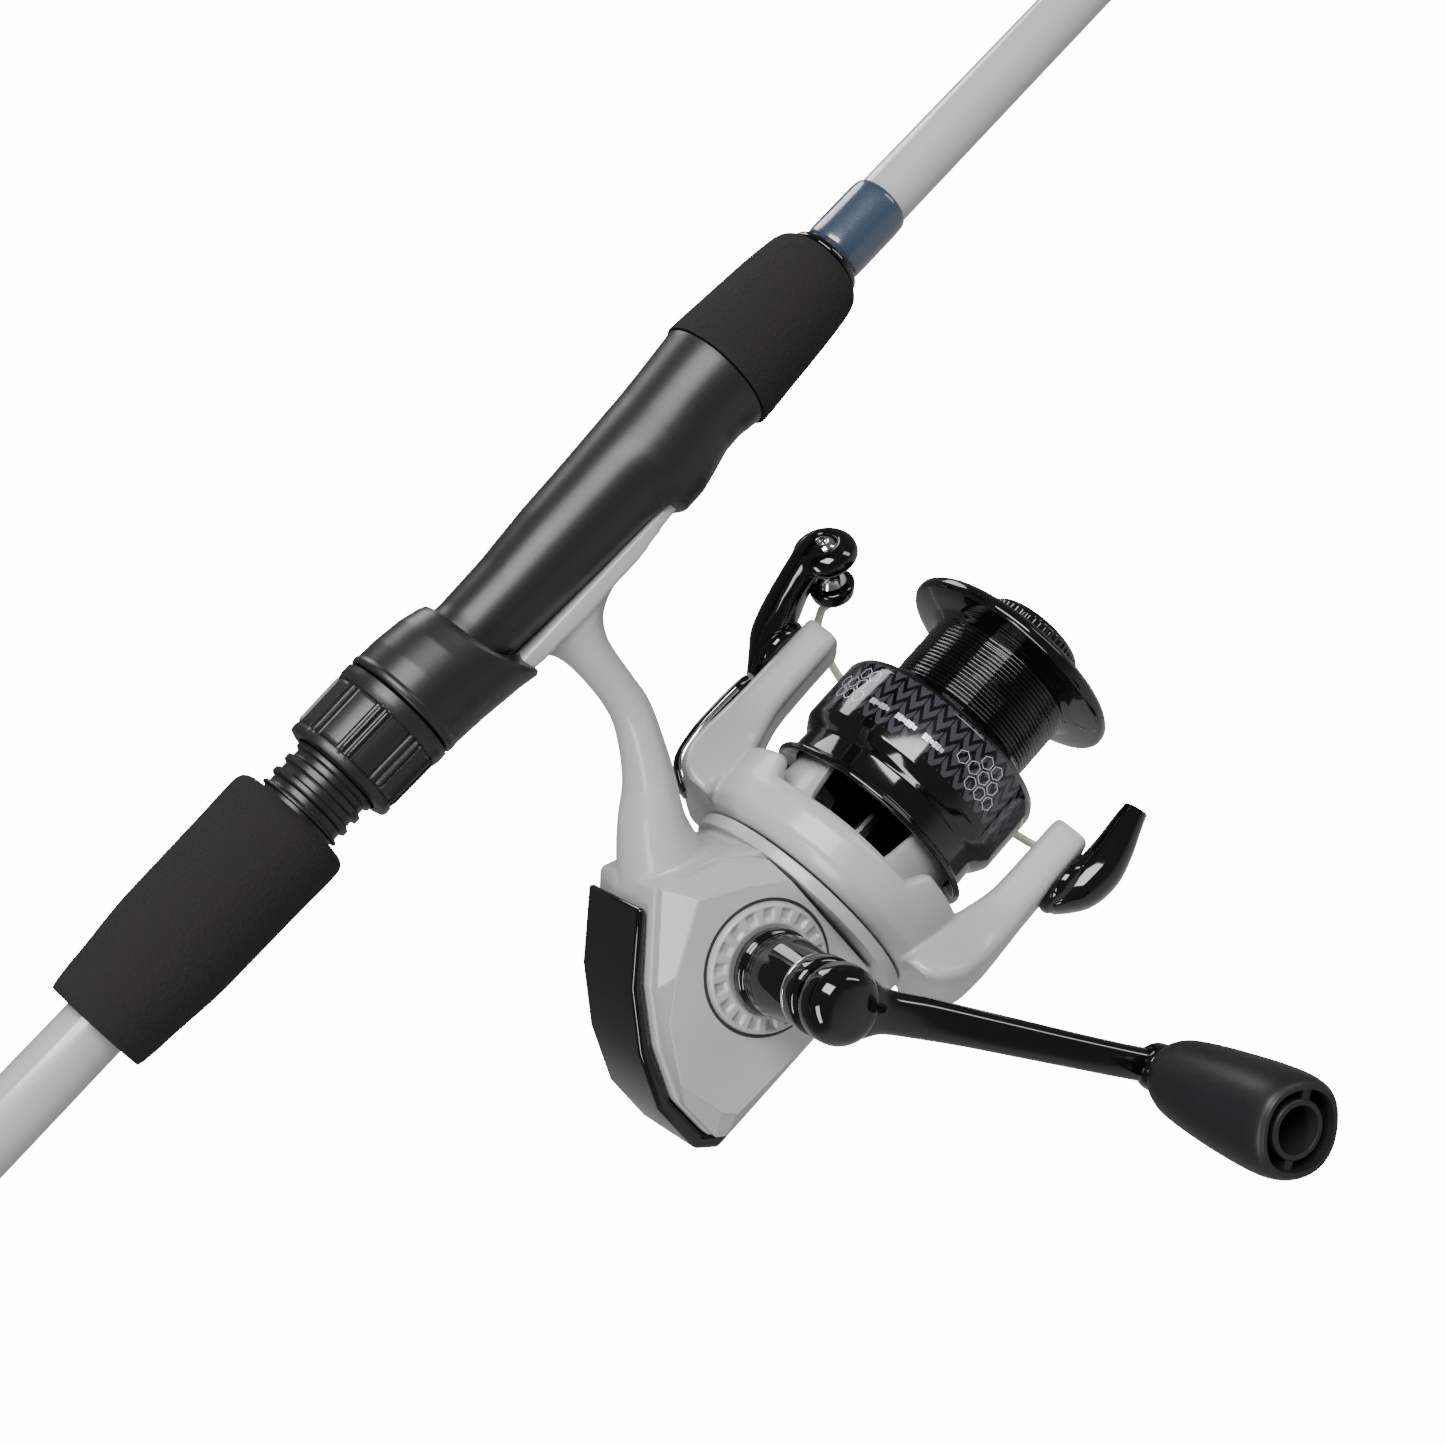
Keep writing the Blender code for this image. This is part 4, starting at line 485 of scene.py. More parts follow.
def round_hoop(centre, radius, wire):
    """A torus about the rod direction."""
    angle = np.linspace(0.0, math.tau, 16, endpoint=False)
    profile = np.stack([wire * np.sin(angle) * 1.6, radius + wire * np.cos(angle)], axis=1)
    return turned(profile, centre, X, 64)


def ring_piece(name, centre, hole, body, stands, look):
    """A polished guide ring with a rounded bore."""
    angle = np.linspace(math.pi / 2, 1.5 * math.pi, 12)
    inside = np.stack([1.3 * np.sin(angle), hole + 0.8 + 0.8 * np.cos(angle)], axis=1)
    profile = np.vstack([inside, [(-1.3, hole + 1.5), (1.3, hole + 1.5)]])
    piece(name, [(turned(profile, centre, X, 64), True)], look["ceramic"], body, [stands])


def build_seat(settings, look):
    """Reel seat with its thread, deck and fixed hood; the sliding hood and the ribbed lock nut."""
    x = np.unique(np.concatenate([np.linspace(-58.2, -31.0, 120), np.linspace(-31.0, 56.0, 150)]))
    angle = np.linspace(0.0, math.tau, 120, endpoint=False)
    down = (1.0 - np.cos(angle)) / 2.0
    top = np.interp(x, [-58.0, -14.5, -12.0, -1.0, 11.0, 22.6, 34.5, 40.0, 47.0, 55.6],
                    [7.9, 7.8, 7.6, 7.9, 8.9, 9.4, 10.1, 10.4, 11.0, 11.9])
    low = np.interp(x, [-58.0, -14.5, -2.0, 10.0, 26.0, 29.0, 31.5, 33.5, 38.3, 42.0, 47.0, 51.0, 55.6],
                    [7.9, 7.8, 8.8, 9.4, 9.9, 10.4, 12.2, 13.6, 13.5, 12.6, 11.2, 11.0, 11.65])
    bulge = down ** 2
    outer = top[:, None] + (low - top)[:, None] * bulge[None]
    phase = np.mod((x + 58.2) / settings.thread_pitch / 1000.0, 1.0)
    ridge = np.clip(np.sin(phase * math.tau) * 1.6 + 0.35, 0.0, 1.0) * 0.8
    ridge = np.where((x > -57.4) & (x < -31.5), ridge, 0.0)
    outer = outer + ridge[:, None]
    flat = np.cos(angle)[None] * outer
    deck = np.where(((x > -30.0) & (x < 31.3))[:, None] & (flat < -8.0),
                    8.0 / np.maximum(-np.cos(angle)[None], 0.2), outer)
    outer = np.minimum(outer, deck)
    piece("seat", [(sleeve(x, outer, [6.0, 6.45]), True)], look["nylon"], "rod", ["reel_seat"],
          50.0)
    s = np.linspace(0.0, 1.0, 60)
    lip = 16.5 + 6.8 * bulge[None] ** 1.5
    xs = -31.0 + s[:, None] * lip
    upper = np.interp(s, [0.0, 0.02, 0.08, 0.1, 0.35, 0.7, 0.94, 1.0],
                      [11.5, 11.95, 12.0, 11.75, 11.6, 10.9, 9.9, 9.4])
    under = np.interp(s, [0.0, 0.02, 0.08, 0.1, 0.4, 0.8, 0.97, 1.0],
                      [11.5, 12.0, 12.05, 11.95, 12.5, 13.7, 14.5, 14.0])
    outer = upper[:, None] + (under - upper)[:, None] * bulge[None]
    piece("hood", [(sleeve(xs, outer, [9.1, 9.05]), True)], look["nylon"], "hood", ["slide_hood"],
          45.0)
    x = np.concatenate([[-47.5, -47.2, -46.4, -45.6, -45.3, -45.0], np.linspace(-44.4, -35.0, 20),
                        [-34.7, -34.4, -34.1, -33.3, -32.5, -31.6, -31.3]])
    angle = np.linspace(0.0, math.tau, 360, endpoint=False)
    rim = np.interp(x, [-47.5, -47.2, -46.4, -45.6, -45.3, -34.7, -34.4, -33.3, -31.6, -31.3],
                    [10.6, 11.3, 11.5, 11.4, 10.9, 11.1, 11.7, 11.95, 11.9, 11.4])
    sector = np.mod(angle * 9 / math.tau, 1.0)
    ribs = 0.75 * np.exp(-((sector - 0.40) / 0.045) ** 4) + 0.75 * np.exp(-((sector - 0.60) / 0.045) ** 4)
    panel = 0.35 * (np.abs(sector - 0.5) > 0.24)
    middle = np.interp(x, [-45.5, -44.9, -34.9, -34.5], [0.0, 1.0, 1.0, 0.0])
    outer = rim[:, None] + middle[:, None] * (ribs + panel)[None]
    piece("nut", [(sleeve(x, outer, [9.1, 9.1]), True)], look["nylon"], "nut", ["lock_nut"],
          40.0)


# --- reel --------------------------------------------------------------------------------------------
CASE = np.array([(-21.5, -57.5), (-35.0, -71.0), (-42.0, -81.5), (-46.5, -92.5), (-46.5, -103.0),
                 (-44.9, -104.6), (-17.0, -105.2), (0.6, -103.4), (0.6, -70.5), (-8.0, -63.5)])


def build_body(settings, look):
    """Foot, leg and gear case cast in one, with the crank-side cover, the tail guard and screws."""
    rows = np.array([(-9.5, 6.0, 11.0, 5.6), (-12.2, 6.0, 12.5, 5.6), (-13.6, 4.6, 9.2, 5.4),
                     (-16.0, 3.2, 6.2, 5.0), (-20.5, 2.3, 4.4, 4.7), (-28.5, 1.8, 3.9, 4.5),
                     (-35.5, 0.6, 4.3, 4.8), (-44.5, -3.9, 5.4, 5.8), (-50.5, -8.6, 7.3, 7.2),
                     (-57.5, -13.4, 8.6, 9.0), (-66.5, -17.0, 11.2, 11.2), (-76.0, -19.0, 15.0, 12.6)])
    fine = curve(rows, 8)
    angle = np.linspace(0.0, math.tau, 48, endpoint=False)
    c, s = np.cos(angle), np.sin(angle)
    pinch = 1.0 - 0.16 * (1.0 - np.abs(s)) * (c > 0)
    leg = np.stack([fine[:, 1, None] + fine[:, 2, None] * c[None], fine[:, 3, None] * s[None] * pinch[None],
                    np.broadcast_to(fine[:, 0, None], (len(fine), 48))], axis=-1)
    top = [(-24.0, -8.35), (39.5, -8.35), (39.5, -9.8), (29.5, -10.6), (19.5, -12.0), (-6.0, -12.0),
           (-16.0, -10.5), (-24.0, -9.9)]
    middle = np.array([-20.0, -85.0])
    case = np.concatenate([extruded(middle + (CASE - middle) * share, depth, depth)[:1] for share, depth in
                           ((0.8, -17.0), (0.86, -16.2), (0.95, -12.0), (1.0, -5.0), (1.0, 12.8))])
    flange = eased([(-1.2, 0.0), (-1.2, 24.4), (0.9, 24.4), (1.0, 11.8), (8.4, 11.8), (8.4, 0.0)], 0.6)
    body = piece("case_and_leg", [(leg, False), (extruded(top, -6.3, 6.3), False), (case, False),
                                  (turned(flange, SPOOL, X, 96), False)], look["paint"], "rod",
                 ["reel_body"])
    cast(body, 0.55, settings.casting_passes)
    lip = eased([(-1.3, 20.0), (-1.3, 25.2), (1.3, 25.4), (1.3, 20.0)], 0.3)
    piece("case_lip", [(turned(lip, SPOOL, X, 128), True)], look["paint"], "rod", ())
    build_cover(look)
    inner = [(-24.8, -60.3), (-35.3, -70.8), (-42.35, -81.3), (-46.85, -92.4), (-46.85, -103.1),
             (-45.1, -104.95), (-17.0, -105.6), (-2.4, -104.1)]
    outer = [(-25.8, -58.6), (-37.4, -69.4), (-44.9, -80.2), (-49.7, -91.8), (-50.0, -104.0),
             (-46.5, -107.9), (-15.6, -108.4), (-2.4, -107.3)]
    strip = inner + outer[::-1]
    guard = piece("guard", extruded(strip, -11.0, 11.0), look["gloss"], "rod", ["rear_guard"])
    soften(guard, 0.9)
    for number, (x, z) in enumerate(((-29.6, -75.6), (-38.2, -98.6)), 1):
        head = screw_head(np.array([x, 17.3, z]), Y, 2.3, 1.3)
        piece(f"screw_{number}", head, look["chrome"], "rod", [f"case_screw_{number}"])


def screw_head(place, axis, radius, height):
    """A domed screw head with a round recess in its top, as grids."""
    dome = eased([(0.0, 0.0), (0.0, radius), (height * 0.5, radius * 0.96), (height, radius * 0.55),
                  (height, radius * 0.42), (height * 0.55, 0.0)], radius * 0.22)
    return [(turned(dome, place, axis, 32), False)]


def build_cover(look):
    """Crank-side cover: a base skirt, a stepped flat plate, a hub ring with a row of sunk notches, and a
    near-black ring of painted shade where the hub meets the plate.
    """
    base = CASE.copy()
    base[:, 0] = np.clip(base[:, 0] + 0.5, -46.0, -1.7)
    plate = np.array([(-18.0, -62.5), (-31.0, -70.0), (-38.0, -75.5), (-44.5, -86.5), (-42.5, -97.5),
                      (-40.5, -100.5), (-18.0, -102.1), (-2.1, -101.5), (-2.1, -74.5), (-9.0, -68.5)])
    mid = base + (plate - base) * 0.18
    rings = np.concatenate([extruded(base, 13.0, 15.0), extruded(mid, 15.8, 15.8)[:1],
                            extruded(plate, 19.0, 19.3)])
    cover = piece("cover_skirt", rings, look["paint"], "rod", ["side_cover"], 25.0)
    soften(cover, 0.7)
    angle = np.linspace(0.0, math.tau, 384, endpoint=False)
    profile = eased([(18.6, 0.0), (18.6, 13.05), (20.2, 12.9), (20.7, 12.5)], 0.35, 5)
    flat = np.stack([np.full(16, 20.7), np.linspace(12.4, 9.0, 16)], axis=1)
    profile = np.vstack([profile, flat, [(20.3, 8.6), (20.3, 0.0)]])
    ring = turned(profile, CRANK, -Y, 384)
    sector = np.mod(angle * 18 / math.tau, 1.0)
    notch = np.exp(-((sector - 0.5) / 0.27) ** 8)[None]
    radial = profile[:, 1, None]
    sunk = 0.7 * notch * np.exp(-((radial - 10.9) / 1.15) ** 8) * (profile[:, 0, None] > 20.4)
    ring = ring + sunk[..., None] * Y
    piece("hub", ring, look["paint"], "rod", (), 60.0)
    # A near-black ring round the foot of the hub, where it meets the plate: painted shade standing in for
    # the dark of a groove there.
    groove_shade = eased([(19.2, 13.1), (19.42, 13.15), (19.42, 13.75), (19.2, 13.8)], 0.05)
    piece("hub_groove_shade", [(turned(groove_shade, CRANK, -Y, 160), True)], look["shade"], "rod", ())


def build_rotor(settings, look):
    """Rotor cup with two rim windows and two flared arms, its inner wall, its gloss strip with a chrome
    edge, and pivot screws.
    """
    angle = np.linspace(0.0, math.tau, 240, endpoint=False)
    away = np.abs(np.mod(angle - (ARM - math.pi / 2) + math.pi / 2, math.pi) - math.pi / 2)
    window = np.clip((math.radians(44.0) - away) / math.radians(9.0), 0.0, 1.0)
    window = window * window * (3.0 - 2.0 * window)
    rim = 17.5 - 4.8 * window
    profile = eased([(11.0, 3.4), (11.0, 24.2), (14.0, 24.7), (16.9, 24.9), (17.5, 25.6), (17.5, 27.0),
                     (16.9, 27.9), (10.0, 28.6), (5.0, 28.4), (2.6, 26.6), (1.7, 24.6), (1.7, 23.4),
                     (8.9, 22.6), (8.9, 3.4)], 0.5)
    share = np.clip((profile[:, 0] - 11.2) / 6.3, 0.0, 1.0)
    along = profile[:, 0, None] - share[:, None] * (17.5 - rim)[None]
    ring = -np.cos(angle)[:, None] * Y + np.sin(angle)[:, None] * Z
    cup = SPOOL + along[..., None] * X + profile[:, 1, None, None] * ring[None]
    rows = np.array([(2.4, 24.6, 31.0, 15.5), (4.4, 24.6, 34.0, 15.5), (8.0, 24.8, 36.2, 14.0),
                     (13.0, 25.0, 37.0, 11.2), (17.0, 25.3, 37.1, 9.2), (21.0, 26.4, 37.0, 8.0),
                     (27.0, 27.8, 36.8, 7.4), (36.0, 28.2, 36.7, 7.2), (44.0, 28.3, 36.6, 7.1),
                     (46.2, 28.5, 36.5, 7.0), (46.8, 28.9, 36.1, 6.6)])
    fine = curve(rows, 6)
    turn = np.linspace(0.0, math.tau, 48, endpoint=False)
    ca = np.sign(np.cos(turn)) * np.abs(np.cos(turn)) ** 0.4
    sa = np.sign(np.sin(turn)) * np.abs(np.sin(turn)) ** 0.4
    middle, half = (fine[:, 1] + fine[:, 2]) / 2, (fine[:, 2] - fine[:, 1]) / 2
    arms = []
    for sign in (1.0, -1.0):
        out = (middle[:, None] + half[:, None] * ca[None])[..., None] * (RADIAL * sign)
        swing = (fine[:, 3, None] * sa[None])[..., None] * TANGENT
        arms.append((SPOOL + fine[:, 0, None, None] * X + out + swing, False))
    rotor = piece("rotor_cup", [(cup, True)] + arms, look["paint"], "rotor", ["rotor"])
    cast(rotor, 0.5, settings.casting_passes)
    gap = np.clip((math.radians(36.0) - away) / math.radians(7.0), 0.0, 1.0)
    front = 25.6 - 10.6 * gap * gap * (3.0 - 2.0 * gap)
    wall = eased([(10.9, 17.6), (24.9, 17.9), (25.6, 18.3), (25.6, 19.0), (24.9, 19.4), (10.9, 19.6)], 0.3)
    share = np.clip((wall[:, 0] - 10.9) / 14.7, 0.0, 1.0)
    along = wall[:, 0, None] - share[:, None] * (25.6 - front)[None]
    inner = SPOOL + along[..., None] * X + wall[:, 1, None, None] * ring[None]
    piece("rotor_wall", [(inner, True)], look["paint"], "rotor", (), 50.0)
    strip = np.array([(3.4, 31.6, 3.0), (4.2, 34.0, 4.4), (7.0, 36.9, 5.6), (13.0, 38.0, 6.0),
                      (20.0, 38.2, 5.6), (26.0, 38.1, 4.8), (29.2, 37.8, 3.6)])
    fine = curve(strip, 8)
    path = SPOOL + fine[:, 0, None] * X + fine[:, 1, None] * RADIAL
    piece("arm_strip", lofted(path, RADIAL, fine[:, 2], 1.4, 3.0, 32), look["gloss"], "rotor",
          ["arm_cover"])
    edge = path[:40] + TANGENT * (fine[:40, 2, None] + 0.1) - RADIAL * 0.5
    piece("strip_edge", lofted(edge, RADIAL, 0.35, 0.55, 2.0, 12), look["chrome"], "rotor", ())
    for name, sign, stands in (("pivot_a", 1.0, "pivot_screw_bail"),
                               ("pivot_b", -1.0, "pivot_screw_holder")):
        head = screw_head(SPOOL + X * BAIL_X + RADIAL * sign * 39.3, RADIAL * sign, 2.7, 1.5)
        stem = turned([(29.5, 0.0), (29.5, 1.7), (39.6, 1.7), (39.6, 0.0)], SPOOL + X * BAIL_X,
                      RADIAL * sign, 20)
        piece(name, head + [(stem, False)], look["chrome"], "rotor", [stands])


ROLLER_TOP = on_arm(57.8, 42.5, 13.8)
ROLLER_FOOT = on_arm(54.4, 36.3, 1.8)


def build_bail(settings, look):
    """Bail arm and holder with root discs, the roller with its cap, screw and dome, and the pale wire."""
    axis = (ROLLER_TOP - ROLLER_FOOT) / np.linalg.norm(ROLLER_TOP - ROLLER_FOOT)
    middle = (ROLLER_TOP + ROLLER_FOOT) / 2
    rows = curve([(30.6, 38.5, -0.6, 0.9, 3.6), (34.0, 39.4, -0.2, 2.2, 4.6), (38.5, 40.8, 0.6, 3.6, 5.3),
                  (43.0, 41.9, 3.0, 3.9, 5.1), (47.5, 42.8, 6.4, 3.6, 4.7), (51.5, 43.1, 9.5, 3.6, 4.4),
                  (54.8, 42.9, 11.8, 4.0, 4.2), (57.8, 42.3, 13.2, 4.2, 3.8)], 8)
    path = on_arm_rows(rows, 1.0)
    disc = eased([(36.5, 0.0), (36.5, 7.0), (38.5, 7.3), (40.4, 5.4), (40.9, 3.4), (39.6, 3.2),
                  (39.6, 0.0)], 0.9)
    root = turned(disc, SPOOL + X * BAIL_X, RADIAL, 64)
    dome = eased([(2.6, 0.0), (2.6, 5.4), (4.2, 6.9), (6.4, 6.6), (7.9, 4.8), (8.1, 3.1), (7.0, 2.9),
                  (7.0, 0.0)], 1.0)
    neck = turned(eased([(-7.4, 0.0), (-7.4, 2.6), (-6.0, 4.4), (-3.2, 5.0), (-2.6, 4.4), (-2.6, 0.0)],
                        0.6), middle, axis, 48)
    piece("bail_reach", [(lofted(path, RADIAL, rows[:, 4], rows[:, 3], 2.6, 40), False), (root, False),
                         (turned(dome, middle, axis, 64), False)], look["gloss"], "bail", ["bail_arm"])
    rows = curve([(33.0, 38.8, -0.6, 1.4, 4.0), (36.0, 39.8, -0.3, 3.0, 5.4), (40.0, 41.0, 0.2, 4.3, 6.0),
                  (45.0, 41.4, 0.8, 4.6, 5.8), (50.0, 40.9, 1.5, 4.0, 5.0), (55.0, 39.9, 2.2, 3.2, 4.0),
                  (59.0, 39.2, 2.7, 2.5, 3.2)], 8)
    path = on_arm_rows(rows, -1.0)
    piece("bail_fin", [(lofted(path, -RADIAL, rows[:, 4], rows[:, 3], 2.4, 40), False),
                       (turned(disc, SPOOL + X * BAIL_X, -RADIAL, 64), False)], look["gloss"], "bail",
          ["bail_holder"])
    wire_rows = ((-3.9, 54.6, 36.8), (1.5, 53.8, 36.8), (9.0, 52.5, 38.4), (25.0, 51.0, 40.4),
                 (48.0, 50.2, 41.0), (70.0, 50.0, 39.6), (90.0, 49.9, 38.9), (110.0, 49.8, 39.6),
                 (132.0, 49.8, 41.0), (155.0, 50.0, 40.4), (167.0, 50.0, 38.9), (174.6, 50.3, 38.4))
    turn, x, radius = np.array(wire_rows).T
    turn = np.radians(turn) + ARM
    around = -np.cos(turn)[:, None] * Y + np.sin(turn)[:, None] * Z
    spots = SPOOL + x[:, None] * X + radius[:, None] * around
    path = curve(spots, 10)
    wire = settings.wire_radius * 1000.0
    grids = [(lofted(path, X, wire, wire, 2.0, 20), False), (neck, False)]
    made = piece("bail_loop", grids, look["wire"], "bail", ["bail_wire"])
    made.data.materials.append(look["gloss"])
    faces = made.data.polygons
    index = np.zeros(len(faces), np.int32)
    centres = np.array([f.center for f in faces]) * 1000.0
    near = np.abs((centres - middle) @ axis + 5.0) < 2.5
    off = np.linalg.norm(np.cross(centres - middle, axis), axis=1) < 5.1
    index[near & off] = 1
    faces.foreach_set("material_index", index)
    angle = np.linspace(0.0, 1.0, 15)
    waist = np.stack([(angle - 0.5) * 4.6, 3.3 - 0.75 * np.sin(angle * math.pi)], axis=1)
    skin = np.vstack([[(-2.3, 1.4)], waist, [(2.3, 1.4)]])
    piece("roller", [(turned(skin, middle, axis, 64), True)], look["chrome"], "roller", ["line_roller"])
    stem = turned([(-5.3, 0.0), (-5.3, 1.1), (7.2, 1.1), (7.2, 0.0)], middle, axis, 20)
    bolt = screw_head(middle + axis * 6.9, axis, 2.75, 1.5) + cross(middle + axis * 8.2, axis, 1.6)
    piece("roller_bolt", bolt + [(stem, False)], look["chrome"], "bail", ["roller_screw"])


def cross(place, axis, reach):
    """Two thin bars that show as the cross in a screw head."""
    u = np.cross(axis, X)
    u /= np.linalg.norm(u)
    v = np.cross(axis, u)
    bars = []
    for a, b in ((u, v), (v, u)):
        box = np.array([(-reach, -0.22), (reach, -0.22), (reach, 0.22), (-reach, 0.22)])
        bars.append((extruded(box, -0.35, 0.02, a, b, axis, place), False))
    return bars


def on_arm_rows(rows, sign):
    """Path points from rows of station, radius and across, on either arm."""
    return SPOOL + rows[:, 0, None] * X + rows[:, 1, None] * RADIAL * sign + rows[:, 2, None] * TANGENT


def build_spool(settings, look):
    """Spool with its lip, grooved arbor and banded skirt, printed cells, and the ribbed drag knob."""
    grooves = settings.arbor_grooves
    x = np.linspace(49.6, 64.2, 260)
    arbor = 16.6 - 0.38 * np.abs(np.sin((x - 49.6) / 14.6 * grooves * math.pi)) ** 0.6
    rear = eased([(22.4, 21.5), (21.5, 22.6), (21.6, 23.5), (22.6, 23.7), (23.6, 21.6), (28.4, 21.5),
                  (29.6, 22.6), (30.9, 23.4), (31.6, SKIRT_R), (44.6, SKIRT_R), (46.3, 22.8), (47.0, 21.2),
                  (48.4, 17.4), (49.6, 16.6)], 0.45)
    front = eased([(64.2, 16.5), (65.0, 18.4), (65.6, 21.6), (66.2, 24.0), (67.0, 24.5), (68.2, 24.4),
                   (69.2, 23.4), (69.6, 21.5), (69.3, 16.0), (69.3, 13.7), (58.6, 13.7), (58.6, 1.9),
                   (43.5, 1.9), (43.5, 5.5), (55.2, 5.5), (55.2, 14.4), (48.1, 14.4), (45.7, 21.4),
                   (31.0, 21.7), (28.5, 20.0), (23.7, 20.0), (22.4, 21.5)], 0.35)
    profile = np.vstack([rear, np.stack([x, arbor], axis=1), front[:-1]])
    piece("spool_body", [(turned(profile, SPOOL, X, 180), True)], look["skirt"], "spool", ["spool"],
          30.0)
    cells = []
    for centre, layout in ((settings.cells_a,
                            ((0, 0), (1, 0), (2, 0), (0, 1), (1, 1), (2, 1), (0, 2), (1, 2))),
                           (settings.cells_b, ((0, 0), (1, 0), (2, 0), (0, 1), (1, 1), (2, 1), (3, 1),
                                               (1, 2), (2, 2)))):
        for i, j in layout:
            cells.append(hexagon(centre + (i + 0.5 * (j % 2)) * CELL_TURN, 35.6 + j * 2.95 * 0.92 + 1.0))
    for group in range(3):
        for mark in range(6):
            turn = settings.cells_b + 0.62 + group * 0.29 + mark * 0.036
            cells.append(dash(turn, 37.2, 0.36, 0.62 if mark % 3 else 0.42))
    piece("skirt_cells", cells, look["print"], "spool", ())
    angle = np.linspace(0.0, math.tau, 336, endpoint=False)
    knob = eased([(62.3, 1.9), (62.3, 8.4), (68.6, 8.4), (69.2, 11.3), (75.0, 11.5), (76.3, 10.3),
                  (76.5, 7.0), (75.6, 6.4), (75.6, 0.0), (73.6, 0.0), (73.6, 1.9)], 0.5)
    skin = turned(knob, SPOOL, X, 336)
    side = np.exp(-((knob[:, 0] - 72.2) / 2.9) ** 8) * (knob[:, 1] > 10.6)
    ribs = 0.3 * np.abs(np.sin(angle * 28))
    out = (skin - SPOOL) * (Y + Z)
    out /= np.maximum(np.linalg.norm(out, axis=-1, keepdims=True), 1e-9)
    skin = skin - out * (side[:, None] * ribs[None])[..., None]
    piece("drag_dial", [(skin, True)], look["gloss"], "drag_dial", ["drag_knob"], 50.0)


def dash(turn, x, across, along):
    """A small raised mark wrapped onto the skirt."""
    rows = []
    for grow, radius in ((1.0, 23.7), (1.0, 23.86), (0.02, 23.86)):
        a = turn + np.array([-across, across, across, -across]) * grow / SKIRT_R
        ring = -np.cos(a)[:, None] * Y + np.sin(a)[:, None] * Z
        run = x + np.array([-along, -along, along, along]) * grow
        rows.append(SPOOL + run[:, None] * X + ring * radius)
    return np.stack(rows), False


def hexagon(turn, x, size=1.5, line=0.2):
    """A thin raised hexagon outline wrapped onto the skirt."""
    corner = np.linspace(0.0, math.tau, 7)[:-1] + math.pi / 2
    edge = np.linspace(0.0, 1.0, 4, endpoint=False)
    ends = np.roll(corner, -1)
    shape = np.stack([np.cos(corner), np.sin(corner)], 1)[:, None] * (1 - edge)[None, :, None]
    shape = shape + np.stack([np.cos(ends), np.sin(ends)], 1)[:, None] * edge[None, :, None]
    shape = shape.reshape(-1, 2)
    rows = []
    for scale, radius in ((size, 23.7), (size, 23.87), (size - line, 23.87), (size - line, 23.7)):
        a = turn + shape[:, 0] * scale / SKIRT_R
        ring = -np.cos(a)[:, None] * Y + np.sin(a)[:, None] * Z
        rows.append(SPOOL + (x + shape[:, 1] * scale)[:, None] * X + ring * radius)
    return np.stack(rows), True


